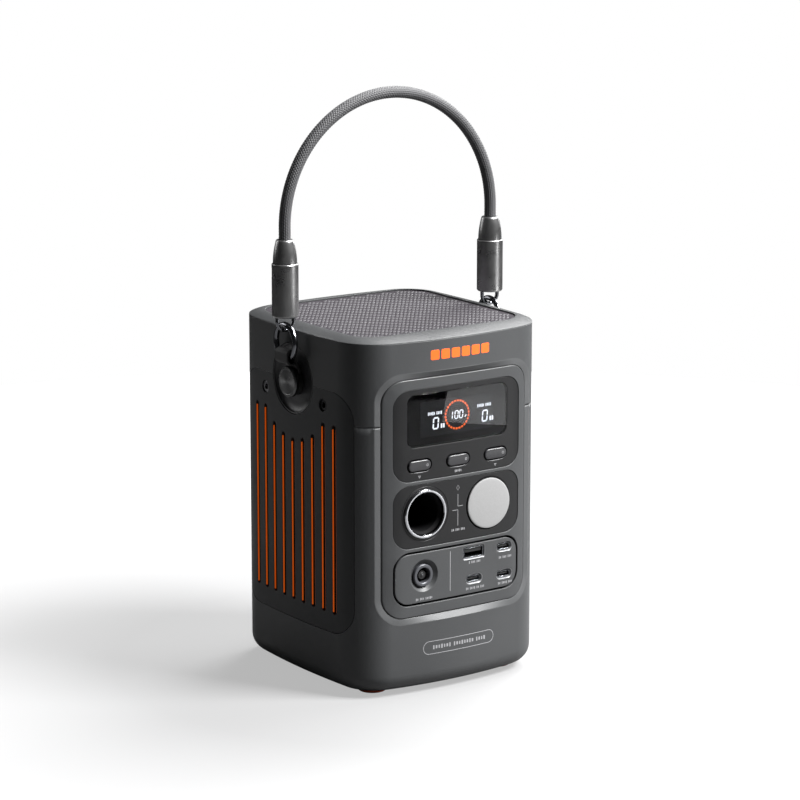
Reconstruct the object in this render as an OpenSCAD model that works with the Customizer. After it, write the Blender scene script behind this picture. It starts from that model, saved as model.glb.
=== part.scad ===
// Portable power station: a tall rounded case with a front control panel, side vents,
// and a braided cable handle that hangs from a ring and strap on each side.
// Millimetres, +Z up, front towards -Y, origin on the ground under the middle of the case.

/* [Case] */
// Width over the middle of the side faces
case_w = 131.8; // [130:0.1:134]
// Depth over the middle of the front and back faces
case_d = 138.2; // [136:0.1:142]
// Height of the crease between the walls and the top rim
crease_z = 200.6; // [200:0.1:201.5]
// Height of the crest of the top rim
crest_z = 203.5; // [203:0.1:204.5]
// Radius of the gently curved side faces
side_r = 480; // [400:10:700]
// Radius of the gently curved front and back faces
front_r = 245; // [225:5:350]
// Radius of the four upright corners
corner_r = 25.5; // [23:0.5:28]
// Radius of the rounding along the bottom edge
bottom_r = 10; // [8:0.5:12]
// Thickness of the shells' walls
wall = 3; // [2.8:0.1:3.2]
// Height of the joint between the lower and upper shells
seam_z = 154.5; // [153:0.1:155]

/* [Feet] */
// How far the feet hold the case off the ground
foot_h = 2.5; // [2:0.1:3]
// Radius of a foot
foot_r = 8; // [7:0.1:8.6]

/* [Front panel] */
// Radius of the front plate's nearly flat middle
plate_r = 900; // [700:50:1200]
// Half the width of that middle
plate_flat = 36; // [34:0.5:37]
// Radius of the plate's rolled sides
plate_side_r = 28; // [26:0.5:32]
// Depth of the plate below the case's front face, on the centre line
plate_depth = 2; // [1.8:0.1:2.2]
// Half the plate's width
plate_hw = 48.7; // [48:0.1:49]
// Bottom of the plate
plate_low = 44.9; // [44:0.1:46]
// Top of the plate
plate_high = 179.8; // [179:0.1:181]
// Half the display glass's width
glass_hw = 33.9; // [32:0.1:35]
// Bottom of the display glass
glass_low = 141.2; // [140:0.1:142]
// Top of the display glass
glass_high = 170.9; // [170:0.1:172]
// Height of the row of buttons
button_z = 130.9; // [129:0.1:132]
// Distance between neighbouring buttons
button_pitch = 25.8; // [24:0.1:27]
// How far a button travels
button_travel = 0.8; // [0.4:0.1:1]

/* [Ports] */
// Height of the 12 V socket and of the lamp
socket_z = 103.1; // [102:0.1:104]
// Sideways position of the 12 V socket
socket_x = -22; // [-23:0.1:-21]
// Sideways position of the lamp
lamp_x = 21; // [20:0.1:22]
// Radius of the 12 V socket's bore
socket_bore_r = 10.5; // [10.4:0.05:10.8]
// Radius of the lamp's lens
lens_r = 14.4; // [13:0.1:14.6]
// Sideways position of the DC input jack
jack_x = -22.8; // [-24:0.1:-22]
// Height of the DC input jack
jack_z = 67.8; // [67:0.1:69]
// Sideways position of the USB-A port
usb_a_x = 11.2; // [10:0.1:12]
// Height of the USB-A port
usb_a_z = 76.1; // [75:0.1:77]

/* [Side vents] */
// Distance between slots
slot_pitch = 9.8; // [9:0.1:10]
// Width of a slot
slot_w = 3.3; // [3:0.1:3.6]
// Bottom of the slots
slot_bottom = 47.2; // [46:0.1:50]
// Top of the outermost slots
slot_high = 151.7; // [150:0.1:152]

/* [Handle] */
// Sideways distance from the middle to a sleeve's axis
handle_x = 70; // [69.8:0.1:71]
// Height of the lug buttons' axis
lug_z = 171.5; // [170:0.1:172]
// Height of the rings' centres
ring_z = 194.4; // [194:0.1:195]
// Radius of a ring, to the middle of its wire
ring_r = 9.6; // [9.4:0.1:9.8]
// Radius of a ring's wire
ring_wire_r = 1.6; // [1.4:0.05:1.7]
// Bottom of a sleeve
sleeve_low = 208.5; // [208:0.1:210]
// Top of a sleeve
sleeve_high = 238.6; // [237:0.1:240]
// Radius of a sleeve
sleeve_r = 7.45; // [7:0.05:7.5]
// Radius of the handle cable
cable_r = 3.4; // [3:0.1:3.8]
// Height where the cable's straight ends meet its arch
arch_z = 258.2; // [256:0.1:262]

/* [Battery] */
// Radius of a cell
cell_r = 16.6; // [16:0.1:16.7]
// Length of a cell
cell_l = 140; // [135:1:142]
// Distance between neighbouring cells
cell_pitch = 35; // [34:0.1:35]

/* [Hidden] */
$fn = 64;
gap = 0.15;
far = 100;
// Tops of the slots, from the middle one outwards: the inner ones stop short of the lug cup
slot_tops = [slot_high - 14, slot_high - 12.5, slot_high - 8.5, slot_high, slot_high];
slot_count = 2 * len(slot_tops) - 1;
plate_z = [plate_low, plate_high];
glass_z = [glass_low, glass_high];
sleeve_z = [sleeve_low, sleeve_high];
jack_xz = [jack_x, jack_z];
usb_a_xz = [usb_a_x, usb_a_z];
usb_c_xz = [[32.6, 76.0], [11.4, 60.7], [32.6, 60.0]];
half_w = case_w / 2;
half_d = case_d / 2;
side_c = side_r - half_w;
front_c = front_r - half_d;
floor_z = foot_h + wall;
plate_y = -half_d + plate_depth;
plate_c = plate_y + plate_r;
roll_a = asin(plate_flat / plate_r);
roll = [(plate_r - plate_side_r) * sin(roll_a), plate_c - (plate_r - plate_side_r) * cos(roll_a)];
plate_t = 2.4;
button_back = 4.4;
bevel_hw = 52.3;
bevel_z = [41.6, 183.3];
bevel_r = 15.5;
plate_corner = 12.5;
glass_corner = 5;
inset_hw = 42.8;
inset_corner = 10;
display_z = [122.2, 173.95];
sockets_z = [84.25, 120.3];
ports_z = [51.4, 82.3];
groove = 1.2;
panel_hy = 53.5;
panel_z = [34.6, 172.2];
panel_corner = 16;
panel_t = 1.6;
liner_hy = 47.5;
liner_z = [42, 157];
cup_z = 173;
cup_r = 20;
cup_floor_x = 62.7;
side_screw_r = 1.5;
post_r = 4;
button_x = [66.4, 69.5];
lug_r = 8.8;
shackle_wire_r = 1.1;
shackle_hw = 5.3;
shackle_low = ring_z + ring_r - ring_wire_r - shackle_wire_r - 0.3;
ferrule_top = 251.8;
pin_z = 232;
pin_r = 1.2;
cell_y = [7.5, 42.5];
tray_y = [-10.5, 59.9];
board_y = -15.3;
cell_x = [-cell_pitch, 0, cell_pitch];
cell_z = floor_z + 2.7;
holder_h = 8;
board_t = 1.6;
grey = [0.30, 0.30, 0.31];
dark = [0.13, 0.13, 0.14];
orange = [0.85, 0.33, 0.06];
steel = [0.62, 0.63, 0.65];
gunmetal = [0.27, 0.27, 0.29];
pcb = [0.05, 0.25, 0.15];

// ---- plan outline of the case: eight tangent arcs ----
function corner_at(n, x, y) = n == 0 ? [x, y] :
  corner_at(n - 1, sqrt(pow(side_r - corner_r, 2) - y * y) - side_c,
                   sqrt(pow(front_r - corner_r, 2) - x * x) - front_c);
corner = corner_at(12, half_w - corner_r, half_d - corner_r);
side_a = atan2(corner[1], corner[0] + side_c);
front_a = atan2(corner[1] + front_c, corner[0]);
ARCS = [
  [[-side_c, 0], side_r, -side_a, side_a, 6],
  [[corner[0], corner[1]], corner_r, side_a, front_a, 8],
  [[0, -front_c], front_r, front_a, 180 - front_a, 8],
  [[-corner[0], corner[1]], corner_r, 180 - front_a, 180 - side_a, 8],
  [[side_c, 0], side_r, 180 - side_a, 180 + side_a, 6],
  [[-corner[0], -corner[1]], corner_r, 180 + side_a, 180 + front_a, 8],
  [[0, front_c], front_r, 180 + front_a, 360 - front_a, 8],
  [[corner[0], -corner[1]], corner_r, 360 - front_a, 360 - side_a, 8]
];
function outline(inset) = [
  for (arc = ARCS) for (i = [0 : arc[4] - 1])
    let (t = arc[2] + (arc[3] - arc[2]) * i / arc[4])
      arc[0] + (arc[1] - inset) * [cos(t), sin(t)]
];

// Solid skinned through rings, each given as [inset, height]
module loft(rings) {
  n = len(outline(0));
  last = len(rings) - 1;
  points = [for (r = rings) for (p = outline(r[0])) [p[0], p[1], r[1]]];
  walls = [for (k = [0 : last - 1]) for (i = [0 : n - 1])
    [k * n + i, (k + 1) * n + i, (k + 1) * n + (i + 1) % n, k * n + (i + 1) % n]];
  start = [[for (i = [0 : n - 1]) i]];
  end = [[for (i = [n - 1 : -1 : 0]) last * n + i]];
  polyhedron(points, concat(walls, start, end), convexity = 6);
}

// Upright prism of the case's outline, inset, between two heights
module slice(inset, low, high) {
  translate([0, 0, low]) linear_extrude(high - low) polygon(outline(inset));
}

// ---- shared shapes ----
module rounded(hw, span, r) {
  square_h = span[1] - span[0];
  translate([-hw + r, span[0]]) square([2 * (hw - r), square_h]);
  translate([-hw, span[0] + r]) square([2 * hw, square_h - 2 * r]);
  for (x = [-1, 1], y = [span[0] + r, span[1] - r]) translate([x * (hw - r), y]) circle(r);
}

// Block through the front, rounded as seen from the front
module front_block(hw, span, r, near = -half_d - 5, depth = 40) {
  translate([0, near + depth, 0]) rotate([90, 0, 0]) linear_extrude(depth) rounded(hw, span, r);
}

// Curved sheet that follows the plate's face
module plate_sheet(depth, thick) {
  rolled = [for (x = [plate_flat : 2 : plate_hw + 4]) x];
  xs = concat([for (i = [len(rolled) - 1 : -1 : 0]) -rolled[i]], [for (x = [-32 : 4 : 32]) x], rolled);
  near = [for (x = xs) [x, face_y(x) + depth]];
  back = [for (i = [len(xs) - 1 : -1 : 0]) [xs[i], face_y(xs[i]) + depth + thick]];
  linear_extrude(crest_z) polygon(concat(near, back));
}

module front_sheet(depth, thick, hw, span, r) {
  intersection() {
    plate_sheet(depth, thick);
    front_block(hw, span, r);
  }
}

// Cylinder along +Y from y to y + h, at a place on the front
module along_y(xz, y, r, h) {
  translate([xz[0], y, xz[1]]) rotate([-90, 0, 0]) cylinder(r = r, h = h);
}

// Revolved around a line along +Y; each point is [radius, y]
module turned_y(xz, points) {
  translate([xz[0], 0, xz[1]]) rotate([-90, 0, 0]) rotate_extrude() polygon(points);
}

// Revolved around a line along +X; each point is [radius, x]
module turned_x(z, points) {
  translate([0, 0, z]) rotate([0, 90, 0]) rotate_extrude() polygon(points);
}

// Box from one corner to the other
module span_box(low, high) {
  translate(low) cube(high - low);
}

// Block through both sides, rounded as seen from the side
module side_block(hy, span, r, x0, x1) {
  translate([x0, 0, 0]) rotate([90, 0, 90]) linear_extrude(x1 - x0) rounded(hy, span, r);
}

// Slot-shaped block along X, with round ends
module slot_block(y, low, high, w, x0, x1) {
  translate([0, y, 0]) side_block(w / 2, [low - w / 2, high + w / 2], w / 2 - 0.01, x0, x1);
}

function slot_top(i) = slot_tops[abs(i - (slot_count - 1) / 2)];
function slot_y(i) = (i - (slot_count - 1) / 2) * slot_pitch;

module both_sides() {
  children();
  mirror([1, 0, 0]) children();
}

// ---- case ----
// Depth of the case's front surface at x: the front arc, then the corner arc
front_end_x = front_r * cos(front_a);
function case_y(x) = abs(x) < front_end_x
  ? front_c - sqrt(front_r * front_r - x * x)
  : -corner[1] - sqrt(corner_r * corner_r - pow(abs(x) - corner[0], 2));

// Depth of the front plate's face at x: the middle, then a rolled side
function face_y(x) = abs(x) < plate_flat
  ? plate_c - sqrt(plate_r * plate_r - x * x)
  : roll[1] - sqrt(plate_side_r * plate_side_r - pow(abs(x) - roll[0], 2));

// Points [x, z] round a rounded rectangle: half of it, and the same half turned
function rim_points(hw, span, r) = let (
  quarter = [for (i = [0 : 8]) r * [cos(i * 90 / 8), sin(i * 90 / 8)]],
  upper = concat(
    [for (q = quarter) [hw - r, span[1] - r] + q],
    [for (i = [1 : 9]) [(hw - r) * (1 - i / 5), span[1]]],
    [for (i = [8 : -1 : 0]) [r - hw - quarter[i][0], span[1] - r + quarter[i][1]]]))
  concat(upper, [for (p = upper) [-p[0], span[0] + span[1] - p[1]]]);

// Opening for the front plate, with the bevel that leads down to it from the case's face
module front_window() {
  proud = 0.5;
  wide = rim_points(bevel_hw + proud, [bevel_z[0] - proud, bevel_z[1] + proud], bevel_r + proud);
  close = rim_points(plate_hw + gap, [plate_z[0] - gap, plate_z[1] + gap], plate_corner + gap);
  n = len(wide);
  points = concat(
    [for (p = wide) [p[0], -half_d - 5, p[1]]],
    [for (p = wide) [p[0], case_y(p[0]) - proud / 2, p[1]]],
    [for (p = close) [p[0], face_y(p[0]), p[1]]],
    [for (p = close) [p[0], -half_d + 30, p[1]]]);
  walls = [for (k = [0 : 2]) for (i = [0 : n - 1]) let (a = k * n + i, b = k * n + (i + 1) % n)
    each [[a, b, a + n], [b, b + n, a + n]]];
  near = [[for (i = [n - 1 : -1 : 0]) i]];
  back = [[for (i = [0 : n - 1]) 3 * n + i]];
  polyhedron(points, concat(walls, near, back), convexity = 6);
}

module side_recess() {
  both_sides() difference() {
    side_block(panel_hy + gap, [panel_z[0] - gap, panel_z[1] + gap], panel_corner, 40, far);
    slice(panel_t + gap, 0, far * 3);
  }
  both_sides() side_block(liner_hy + gap, [liner_z[0] - gap, liner_z[1] + gap], 6, 50, far);
  both_sides() translate([cup_floor_x - 2.7, 0, cup_z]) rotate([0, 90, 0])
    cylinder(r = cup_r + gap, h = 40);
}

module lower_shell() color(grey) difference() {
  loft(concat(
    [for (i = [0 : 5]) let (t = 90 - i * 18)
      [bottom_r * (1 - cos(t)), foot_h + bottom_r * (1 - sin(t))]],
    [[0, seam_z - 0.1], [wall, seam_z - 0.1], [wall, foot_h + bottom_r],
      [bottom_r * 0.55, floor_z + 1.5], [bottom_r, floor_z]]));
  front_window();
  side_recess();
  foot_sockets();
  base_holes();
}

module upper_shell() color(grey) difference() {
  slice(0, seam_z, crease_z);
  slice(wall, seam_z - 1, crease_z + 1);
  front_window();
  side_recess();
  both_sides() side_screw_places() rotate([0, 90, 0]) cylinder(r = side_screw_r + 0.05, h = 5);
}

module top_rim() color(grey) difference() {
  loft([[wall + 3, crease_z - 4], [wall + 3, crease_z], [0, crease_z], [0.5, crease_z + 0.25],
    [9.2, crest_z - 0.15], [10, crest_z]]);
  mat_block(crest_z - 2, 5, gap);
  slice(wall + 5, crease_z - 5, crease_z - 1.6);
}

module mat_block(z, h, grow) {
  translate([0, 0, z]) linear_extrude(h) rounded(55.6 + grow, [-55.2 - grow, 55.2 + grow], 17);
}

module top_mat() color([0.25, 0.24, 0.26]) mat_block(crest_z - 2, 1.4, 0);

module at_feet() {
  for (x = [-1, 1], y = [-1, 1]) translate([x * 43, y * 45, 0]) children();
}

module foot_sockets() {
  at_feet() translate([0, 0, foot_h - 1]) cylinder(r = foot_r - 1 + gap, h = 2.5);
}

module base_holes() {
  at_feet() cylinder(r = 1.8, h = floor_z + 3);
}

module feet() color(orange) at_feet() difference() {
  union() {
    cylinder(r1 = foot_r - 0.6, r2 = foot_r, h = 0.6);
    translate([0, 0, 0.6]) cylinder(r = foot_r, h = foot_h - 0.65);
    translate([0, 0, foot_h - 0.1]) cylinder(r = foot_r - 1, h = 1.5);
  }
  translate([0, 0, -1]) cylinder(r = 3.3, h = 6);
}

module base_screws() color(steel) at_feet() {
  translate([0, 0, 1.9]) cylinder(r = 3, h = 1.9);
  translate([0, 0, 1.9]) cylinder(r = 1.6, h = floor_z - 1.9);
}

// ---- side vents ----
module side_panel() color(dark) difference() {
  intersection() {
    slice(0, 0, far * 2);
    side_block(panel_hy, panel_z, panel_corner, 40, far);
  }
  slice(panel_t, -1, far * 2 + 1);
  for (i = [0 : slot_count - 1])
    slot_block(slot_y(i), slot_bottom, slot_top(i), slot_w, 40, far);
  translate([50, 0, cup_z]) rotate([0, 90, 0]) cylinder(r = cup_r + gap, h = 40);
  side_screw_places() rotate([0, 90, 0]) cylinder(r = 3.7, h = 30);
}

module vent_liner() color(orange) difference() {
  union() {
    intersection() {
      difference() {
        slice(panel_t + gap, 0, far * 2);
        slice(wall + 0.6, -1, far * 2 + 1);
      }
      side_block(liner_hy, liner_z, 6, 50, far);
      difference() {
        cube(600, center = true);
        translate([50, 0, cup_z]) rotate([0, 90, 0]) cylinder(r = cup_r + 0.6, h = 40);
      }
    }
    intersection() {
      difference() {
        slice(0.25, 0, far * 2);
        slice(wall, -1, far * 2 + 1);
      }
      union() {
        for (i = [0 : slot_count - 1])
          slot_block(slot_y(i), slot_bottom, slot_top(i), slot_w - 0.2, 50, far);
      }
    }
  }
  for (i = [0 : slot_count - 1])
    slot_block(slot_y(i), slot_bottom, slot_top(i), slot_w - 0.9, 40, far);
}

module dust_screens() color([0.03, 0.03, 0.03]) both_sides()
  intersection() {
    difference() {
      slice(wall + 0.7, 0, far * 2);
      slice(wall + 1.3, -1, far * 2 + 1);
    }
    side_block(liner_hy - 1, [liner_z[0] + 1, 152], 5, 50, far);
  }

module side_screw_places() {
  for (y = [-29.4, 29.4]) translate([half_w - 5.5, y, 163.1]) children();
}

module side_screws() color(steel) both_sides() side_screw_places() rotate([0, 90, 0]) difference() {
  union() {
    cylinder(r = side_screw_r, h = 4.2);
    translate([0, 0, 3.4]) cylinder(r = 3.4, h = 1.2);
  }
  translate([0, 0, 3.9]) cylinder(r = 1.3, h = 2, $fn = 6);
}

// ---- lugs, straps and rings, drawn on the right ----
module lug_cups() color(dark) both_sides() difference() {
  turned_x(cup_z, [[0, cup_floor_x - 2.4], [cup_r, cup_floor_x - 2.4], [cup_r, 65.3],
    [cup_r - 0.6, 65.3], [cup_r - 1.6, 64.2], [cup_r - 3.6, cup_floor_x + 0.5],
    [cup_r - 5.6, cup_floor_x], [0, cup_floor_x]]);
  turned_x(lug_z, [[0, 50], [post_r - 0.8, 50], [post_r - 0.8, 70], [0, 70]]);
}

module lug_button() color([0.08, 0.08, 0.09])
  turned_x(lug_z, [[0, 58], [post_r - 0.9, 58], [post_r - 0.9, cup_floor_x + 0.05],
    [post_r, cup_floor_x + 0.05], [post_r, button_x[0]], [lug_r - 0.3, button_x[0]],
    [lug_r, button_x[0] + 0.3], [lug_r, button_x[1] - 0.5], [lug_r - 0.5, button_x[1]],
    [0, button_x[1]]]);

module strap() color([0.05, 0.05, 0.05]) {
  inner = 63.1;
  outer = 66.1;
  loop_z = [181.7, 190.9];
  loop_w = 6.3;
  neck_z = 180.6;
  difference() {
    union() {
      translate([inner, 0, lug_z]) rotate([0, 90, 0]) cylinder(r = 8, h = outer - inner);
      span_box([inner, -loop_w, lug_z], [outer, loop_w, neck_z]);
      translate([0, loop_w, 0]) rotate([90, 0, 0]) linear_extrude(2 * loop_w) polygon([
        [inner, neck_z - 0.1], [outer, neck_z - 0.1], [handle_x, loop_z[0]],
        [handle_x - 3.2, loop_z[0] + 4.5], [inner + 3, loop_z[0] + 1.6]]);
      translate([handle_x, loop_w, 0]) rotate([90, 0, 0]) linear_extrude(2 * loop_w)
        rounded(3.3, loop_z, 3.2);
    }
    translate([handle_x, far / 2, 0]) rotate([90, 0, 0]) linear_extrude(far)
      rounded(1.9, [loop_z[0] + 0.95, loop_z[1] - 1.3], 1.85);
    translate([50, 0, lug_z]) rotate([0, 90, 0]) cylinder(r = post_r + 0.06, h = 20);
  }
}

module ring() color([0.2, 0.2, 0.21]) translate([handle_x, 0, ring_z]) rotate([0, 90, 0])
  rotate_extrude() translate([ring_r, 0]) circle(ring_wire_r);

module shackle() color([0.3, 0.3, 0.31]) translate([handle_x, 0, shackle_low + shackle_hw]) {
  rotate([90, 180, 0]) rotate_extrude(angle = 180) translate([shackle_hw, 0])
    circle(shackle_wire_r);
  for (s = [-1, 1]) translate([s * shackle_hw, 0, 0])
    cylinder(r = shackle_wire_r, h = sleeve_z[0] + 4 - shackle_low - shackle_hw);
}

module sleeve() color(gunmetal) translate([handle_x, 0, 0]) difference() {
  rotate_extrude() polygon([[0, sleeve_z[0]], [sleeve_r - 0.5, sleeve_z[0]],
    [sleeve_r, sleeve_z[0] + 0.5], [sleeve_r, sleeve_z[1] - 0.3],
    [sleeve_r - 0.3, sleeve_z[1]], [5.6, sleeve_z[1]], [5.6, 224], [0, 224]]);
  for (s = [-1, 1]) translate([s * shackle_hw, 0, sleeve_z[0] - 1])
    cylinder(r = shackle_wire_r + 0.02, h = 5.05);
  translate([-10, 0, pin_z]) rotate([0, 90, 0]) cylinder(r = pin_r + 0.12, h = 20);
  span_box([-10, 0, pin_z - 1.3], [10, 3.6, pin_z + 1.3]);
  span_box([-10, 2.2, pin_z], [10, 4.8, pin_z + 4.2]);
}

module ferrule() color(gunmetal) translate([handle_x, 0, 0]) difference() {
  rotate_extrude() polygon(concat(
    [[0, 226], [5.5, 226], [5.5, sleeve_z[1] + 0.05], [6.7, sleeve_z[1] + 0.05]],
    [for (i = [0 : 8]) let (t = i * 90 / 8)
      [5.1 + 1.6 * cos(t), sleeve_z[1] + 0.4 + (ferrule_top - 0.8 - sleeve_z[1]) * sin(t)]],
    [[4.7, ferrule_top], [0, ferrule_top]]));
  translate([0, 0, sleeve_z[1] + 1.4]) cylinder(r = cable_r + 0.02, h = 20);
  translate([-10, 0, pin_z]) rotate([0, 90, 0]) cylinder(r = pin_r + 0.02, h = 20);
}

module bayonet_pins() color(steel) both_sides()
  translate([handle_x - sleeve_r - 0.3, 0, pin_z]) rotate([0, 90, 0])
    cylinder(r = pin_r, h = 2 * sleeve_r + 0.6);

module handle_cable() color([0.12, 0.12, 0.13]) {
  start = sleeve_z[1] + 1.45;
  translate([0, 0, arch_z]) rotate([90, 0, 0]) rotate_extrude(angle = 180)
    translate([handle_x, 0]) circle(cable_r);
  both_sides() translate([handle_x, 0, start]) cylinder(r = cable_r, h = arch_z - start);
}

// ---- front panel ----
module front_plate() color(grey) difference() {
  front_sheet(0, plate_t, plate_hw, plate_z, plate_corner);
  for (z = [display_z, sockets_z, ports_z])
    front_block(inset_hw + 0.1, [z[0] - 0.1, z[1] + 0.1], inset_corner + 0.1);
}

function button_at(i) = [i * button_pitch, button_z];

module button_block(i, grow, y, h) {
  translate([i * button_pitch, y + h, 0]) rotate([90, 0, 0]) linear_extrude(h)
    rounded(7.4 + grow, [button_z - 3.7 - grow, button_z + 3.7 + grow], 3.6 + grow);
}

module display_inset() color(dark) difference() {
  front_sheet(0.3, 3.2, inset_hw, display_z, inset_corner);
  intersection() {
    plate_sheet(-1, 2.3);
    front_block(glass_hw + 0.1, [glass_z[0] - 0.1, glass_z[1] + 0.1], glass_corner + 0.1);
  }
  front_block(30.5, [142.5, 169.5], 1);
  for (i = [-1 : 1]) button_block(i, 0.25, -80, 40);
}

module display_glass() color([0.04, 0.04, 0.05])
  front_sheet(0.2, 1.0, glass_hw, glass_z, glass_corner);

module lcd_module() color([0.2, 0.2, 0.21])
  span_box([-30, plate_y + 3.4, 143], [30, plate_y + 6.4, 169]);

module display_board() color(pcb) span_box([-41, plate_y + 6.5, 124], [41, plate_y + 8.1, 173]);

// The middle button stands a little proud of the other two
module button(i) color([0.33, 0.33, 0.34]) {
  sunk = i == 0 ? -0.4 : 0;
  button_block(i, 0, plate_y + sunk, button_back - sunk);
}

module button_switches() color([0.7, 0.7, 0.7]) for (i = [-1 : 1])
  along_y(button_at(i), plate_y + button_back + button_travel + 0.1, 1.7, 1.15);

// ---- 12 V socket and lamp ----
module socket_inset() color(dark) difference() {
  front_sheet(0.3, 2.6, inset_hw, sockets_z, inset_corner);
  along_y([socket_x, socket_z], -80, 14.05, 40);
  along_y([lamp_x, socket_z], -80, 15.25, 40);
}

module socket_ring() color(steel) {
  face = plate_y - 0.6;
  turned_y([socket_x, socket_z], [[12.2, face], [13.6, face], [13.95, face + 0.4],
    [13.95, face + 5], [socket_bore_r + 1.6, face + 5], [socket_bore_r + 1.6, face + 4]]);
}

module socket_barrel() color([0.06, 0.06, 0.06]) {
  start = plate_y + 3.45;
  shelf = plate_y + 41;
  end = plate_y + 47;
  turned_y([socket_x, socket_z], [[socket_bore_r, start], [socket_bore_r + 1.5, start],
    [socket_bore_r + 1.5, end], [3.1, end], [3.1, end - 2], [socket_bore_r - 1.5, end - 2],
    [socket_bore_r - 1.5, shelf], [socket_bore_r, shelf]]);
}

module socket_contact() color([0.75, 0.6, 0.3]) turned_y([socket_x, socket_z],
  [[0, plate_y + 41.5], [1.8, plate_y + 42.3], [2.4, plate_y + 44.4], [3.05, plate_y + 44.4],
    [3.05, plate_y + 49], [0, plate_y + 49]]);

module lamp_lens() color([0.85, 0.85, 0.86]) {
  face = plate_y - 0.5;
  turned_y([lamp_x, socket_z], [[0, face - 0.25], [lens_r * 0.6, face - 0.1],
    [lens_r - 0.4, face + 0.2], [lens_r, face + 0.6], [lens_r, face + 2.2], [0, face + 2.2]]);
}

module lamp_reflector() color([0.9, 0.9, 0.9]) {
  front = plate_y + 1.75;
  turned_y([lamp_x, socket_z], [[lens_r, front], [15.15, front - 1], [15.15, front + 6],
    [9, front + 6], [9, front + 5.2], [14.2, front + 0.2]]);
}

module lamp_board() color([0.9, 0.9, 0.85]) {
  along_y([lamp_x, socket_z], plate_y + 7.8, 15, board_t);
  for (a = [0 : 60 : 300])
    along_y([lamp_x + 5.5 * cos(a), socket_z + 5.5 * sin(a)], plate_y + 6.9, 1.4, 0.95);
}

// ---- DC and USB ports ----
module port_panel() color(grey) difference() {
  front_sheet(0.1, 2.8, inset_hw - groove, [ports_z[0] + groove, ports_z[1] - groove],
    inset_corner - groove);
  turned_y(jack_xz, [[0, -80], [9.6, -80], [9.6, plate_y], [9.3, plate_y + 0.9],
    [6.55, plate_y + 2.2], [6.55, -40], [0, -40]]);
  translate([usb_a_xz[0], 0, 0])
    front_block(7.1, [usb_a_xz[1] - 3.3, usb_a_xz[1] + 3.3], 0.8);
  for (c = usb_c_xz) translate([c[0], 0, 0])
    front_block(5.2, [c[1] - 2.3, c[1] + 2.3], 2.2);
}

module dc_jack_ring() color(steel) turned_y(jack_xz, [[4.4, plate_y + 1.4],
  [5.2, plate_y + 0.7], [6.1, plate_y + 0.7], [6.4, plate_y + 1], [6.4, plate_y + 4.4],
  [4.4, plate_y + 4.4]]);

module dc_jack_body() color(dark) difference() {
  along_y(jack_xz, plate_y + 4.5, 7.4, 9.8);
  along_y(jack_xz, plate_y + 4, 4.4, 8.3);
  along_y(jack_xz, plate_y, 0.72, 40);
}

module dc_jack_pin() color(steel) along_y(jack_xz, plate_y + 4.2, 0.7, 11.8);

module usb_a_shell() color(steel) translate([usb_a_xz[0], 0, 0]) difference() {
  front_block(6.6, [usb_a_xz[1] - 2.85, usb_a_xz[1] + 2.85], 0.6, plate_y + 0.9, 14);
  front_block(6.25, [usb_a_xz[1] - 2.5, usb_a_xz[1] + 2.5], 0.4, plate_y + 0.5, 14);
}

module usb_a_tongue() color([0.05, 0.05, 0.05]) translate([usb_a_xz[0], 0, 0])
  span_box([-5.6, plate_y + 1.6, usb_a_xz[1] + 0.1], [5.6, plate_y + 14.4, usb_a_xz[1] + 1.9]);

module usb_c_shells() color(steel) for (c = usb_c_xz) translate([c[0], 0, 0]) difference() {
  front_block(4.5, [c[1] - 1.65, c[1] + 1.65], 1.6, face_y(c[0]) + 1.1, 8);
  front_block(4.2, [c[1] - 1.35, c[1] + 1.35], 1.3, face_y(c[0]), 8.6);
}

module usb_c_tongues() color([0.05, 0.05, 0.05]) for (c = usb_c_xz) translate([c[0], 0, 0])
  span_box([-3.3, face_y(c[0]) + 1.8, c[1] - 0.35], [3.3, face_y(c[0]) + 8.4, c[1] + 0.35]);

module port_board() color(pcb) span_box([-2, plate_y + 15.1, 53], [41, plate_y + 16.7, 81]);

// ---- electronics and battery ----
module main_board() color(pcb)
  span_box([-50, board_y + 0.1, 22], [50, board_y + 0.1 + board_t, 150]);

module heat_sink() color(steel) {
  span_box([4, -18.4, 92], [48, board_y, 140]);
  for (x = [4 : 6 : 46]) span_box([x, -32, 92], [x + 1.6, -18.3, 140]);
}

module power_parts() color([0.2, 0.2, 0.25]) {
  for (x = [-34, -12, 10]) along_y([x, 36], board_y - 14, 8, 14);
  for (x = [28, 42]) along_y([x, 40], board_y - 20, 5, 20);
  span_box([-46, -27, 60], [-14, board_y, 84]);
}

module at_cells() {
  for (x = cell_x, y = cell_y) translate([x, y, 0]) children();
}

module battery_cells() color([0.1, 0.25, 0.5]) at_cells() {
  translate([0, 0, cell_z]) cylinder(r = cell_r, h = cell_l);
  translate([0, 0, cell_z + cell_l - 0.05]) cylinder(r = 5, h = 1);
}

// Tray with a pocket for each cell; the pockets start at the height given as open
module cell_holder(low, open) {
  difference() {
    translate([0, 0, low]) linear_extrude(holder_h) rounded(53.5, tray_y, 15);
    at_cells() translate([0, 0, open]) cylinder(r = cell_r + 0.1, h = holder_h);
    at_cells() translate([0, 0, low - 1]) cylinder(r = 12, h = holder_h + 2);
  }
}

module cell_holders() color([0.1, 0.1, 0.1]) {
  cell_holder(cell_z - 1.2, cell_z - 0.05);
  cell_holder(cell_z + cell_l - holder_h + 1.2, cell_z + cell_l - holder_h + 0.05);
  pad_y = (cell_y[0] + cell_y[1]) / 2;
  for (x = [-cell_pitch / 2, cell_pitch / 2])
    translate([x, pad_y, floor_z + 0.05]) cylinder(r = 6, h = cell_z - floor_z);
}

module bus_straps() color(steel) for (x = cell_x) {
  low = cell_z + cell_l + 2.2;
  span_box([x - 7, cell_y[0] - 6, low], [x + 7, cell_y[1] + 6, low + 0.3]);
}

module bms_board() color(pcb) span_box([-45, -8, 158], [45, 58, 159.6]);

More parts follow.
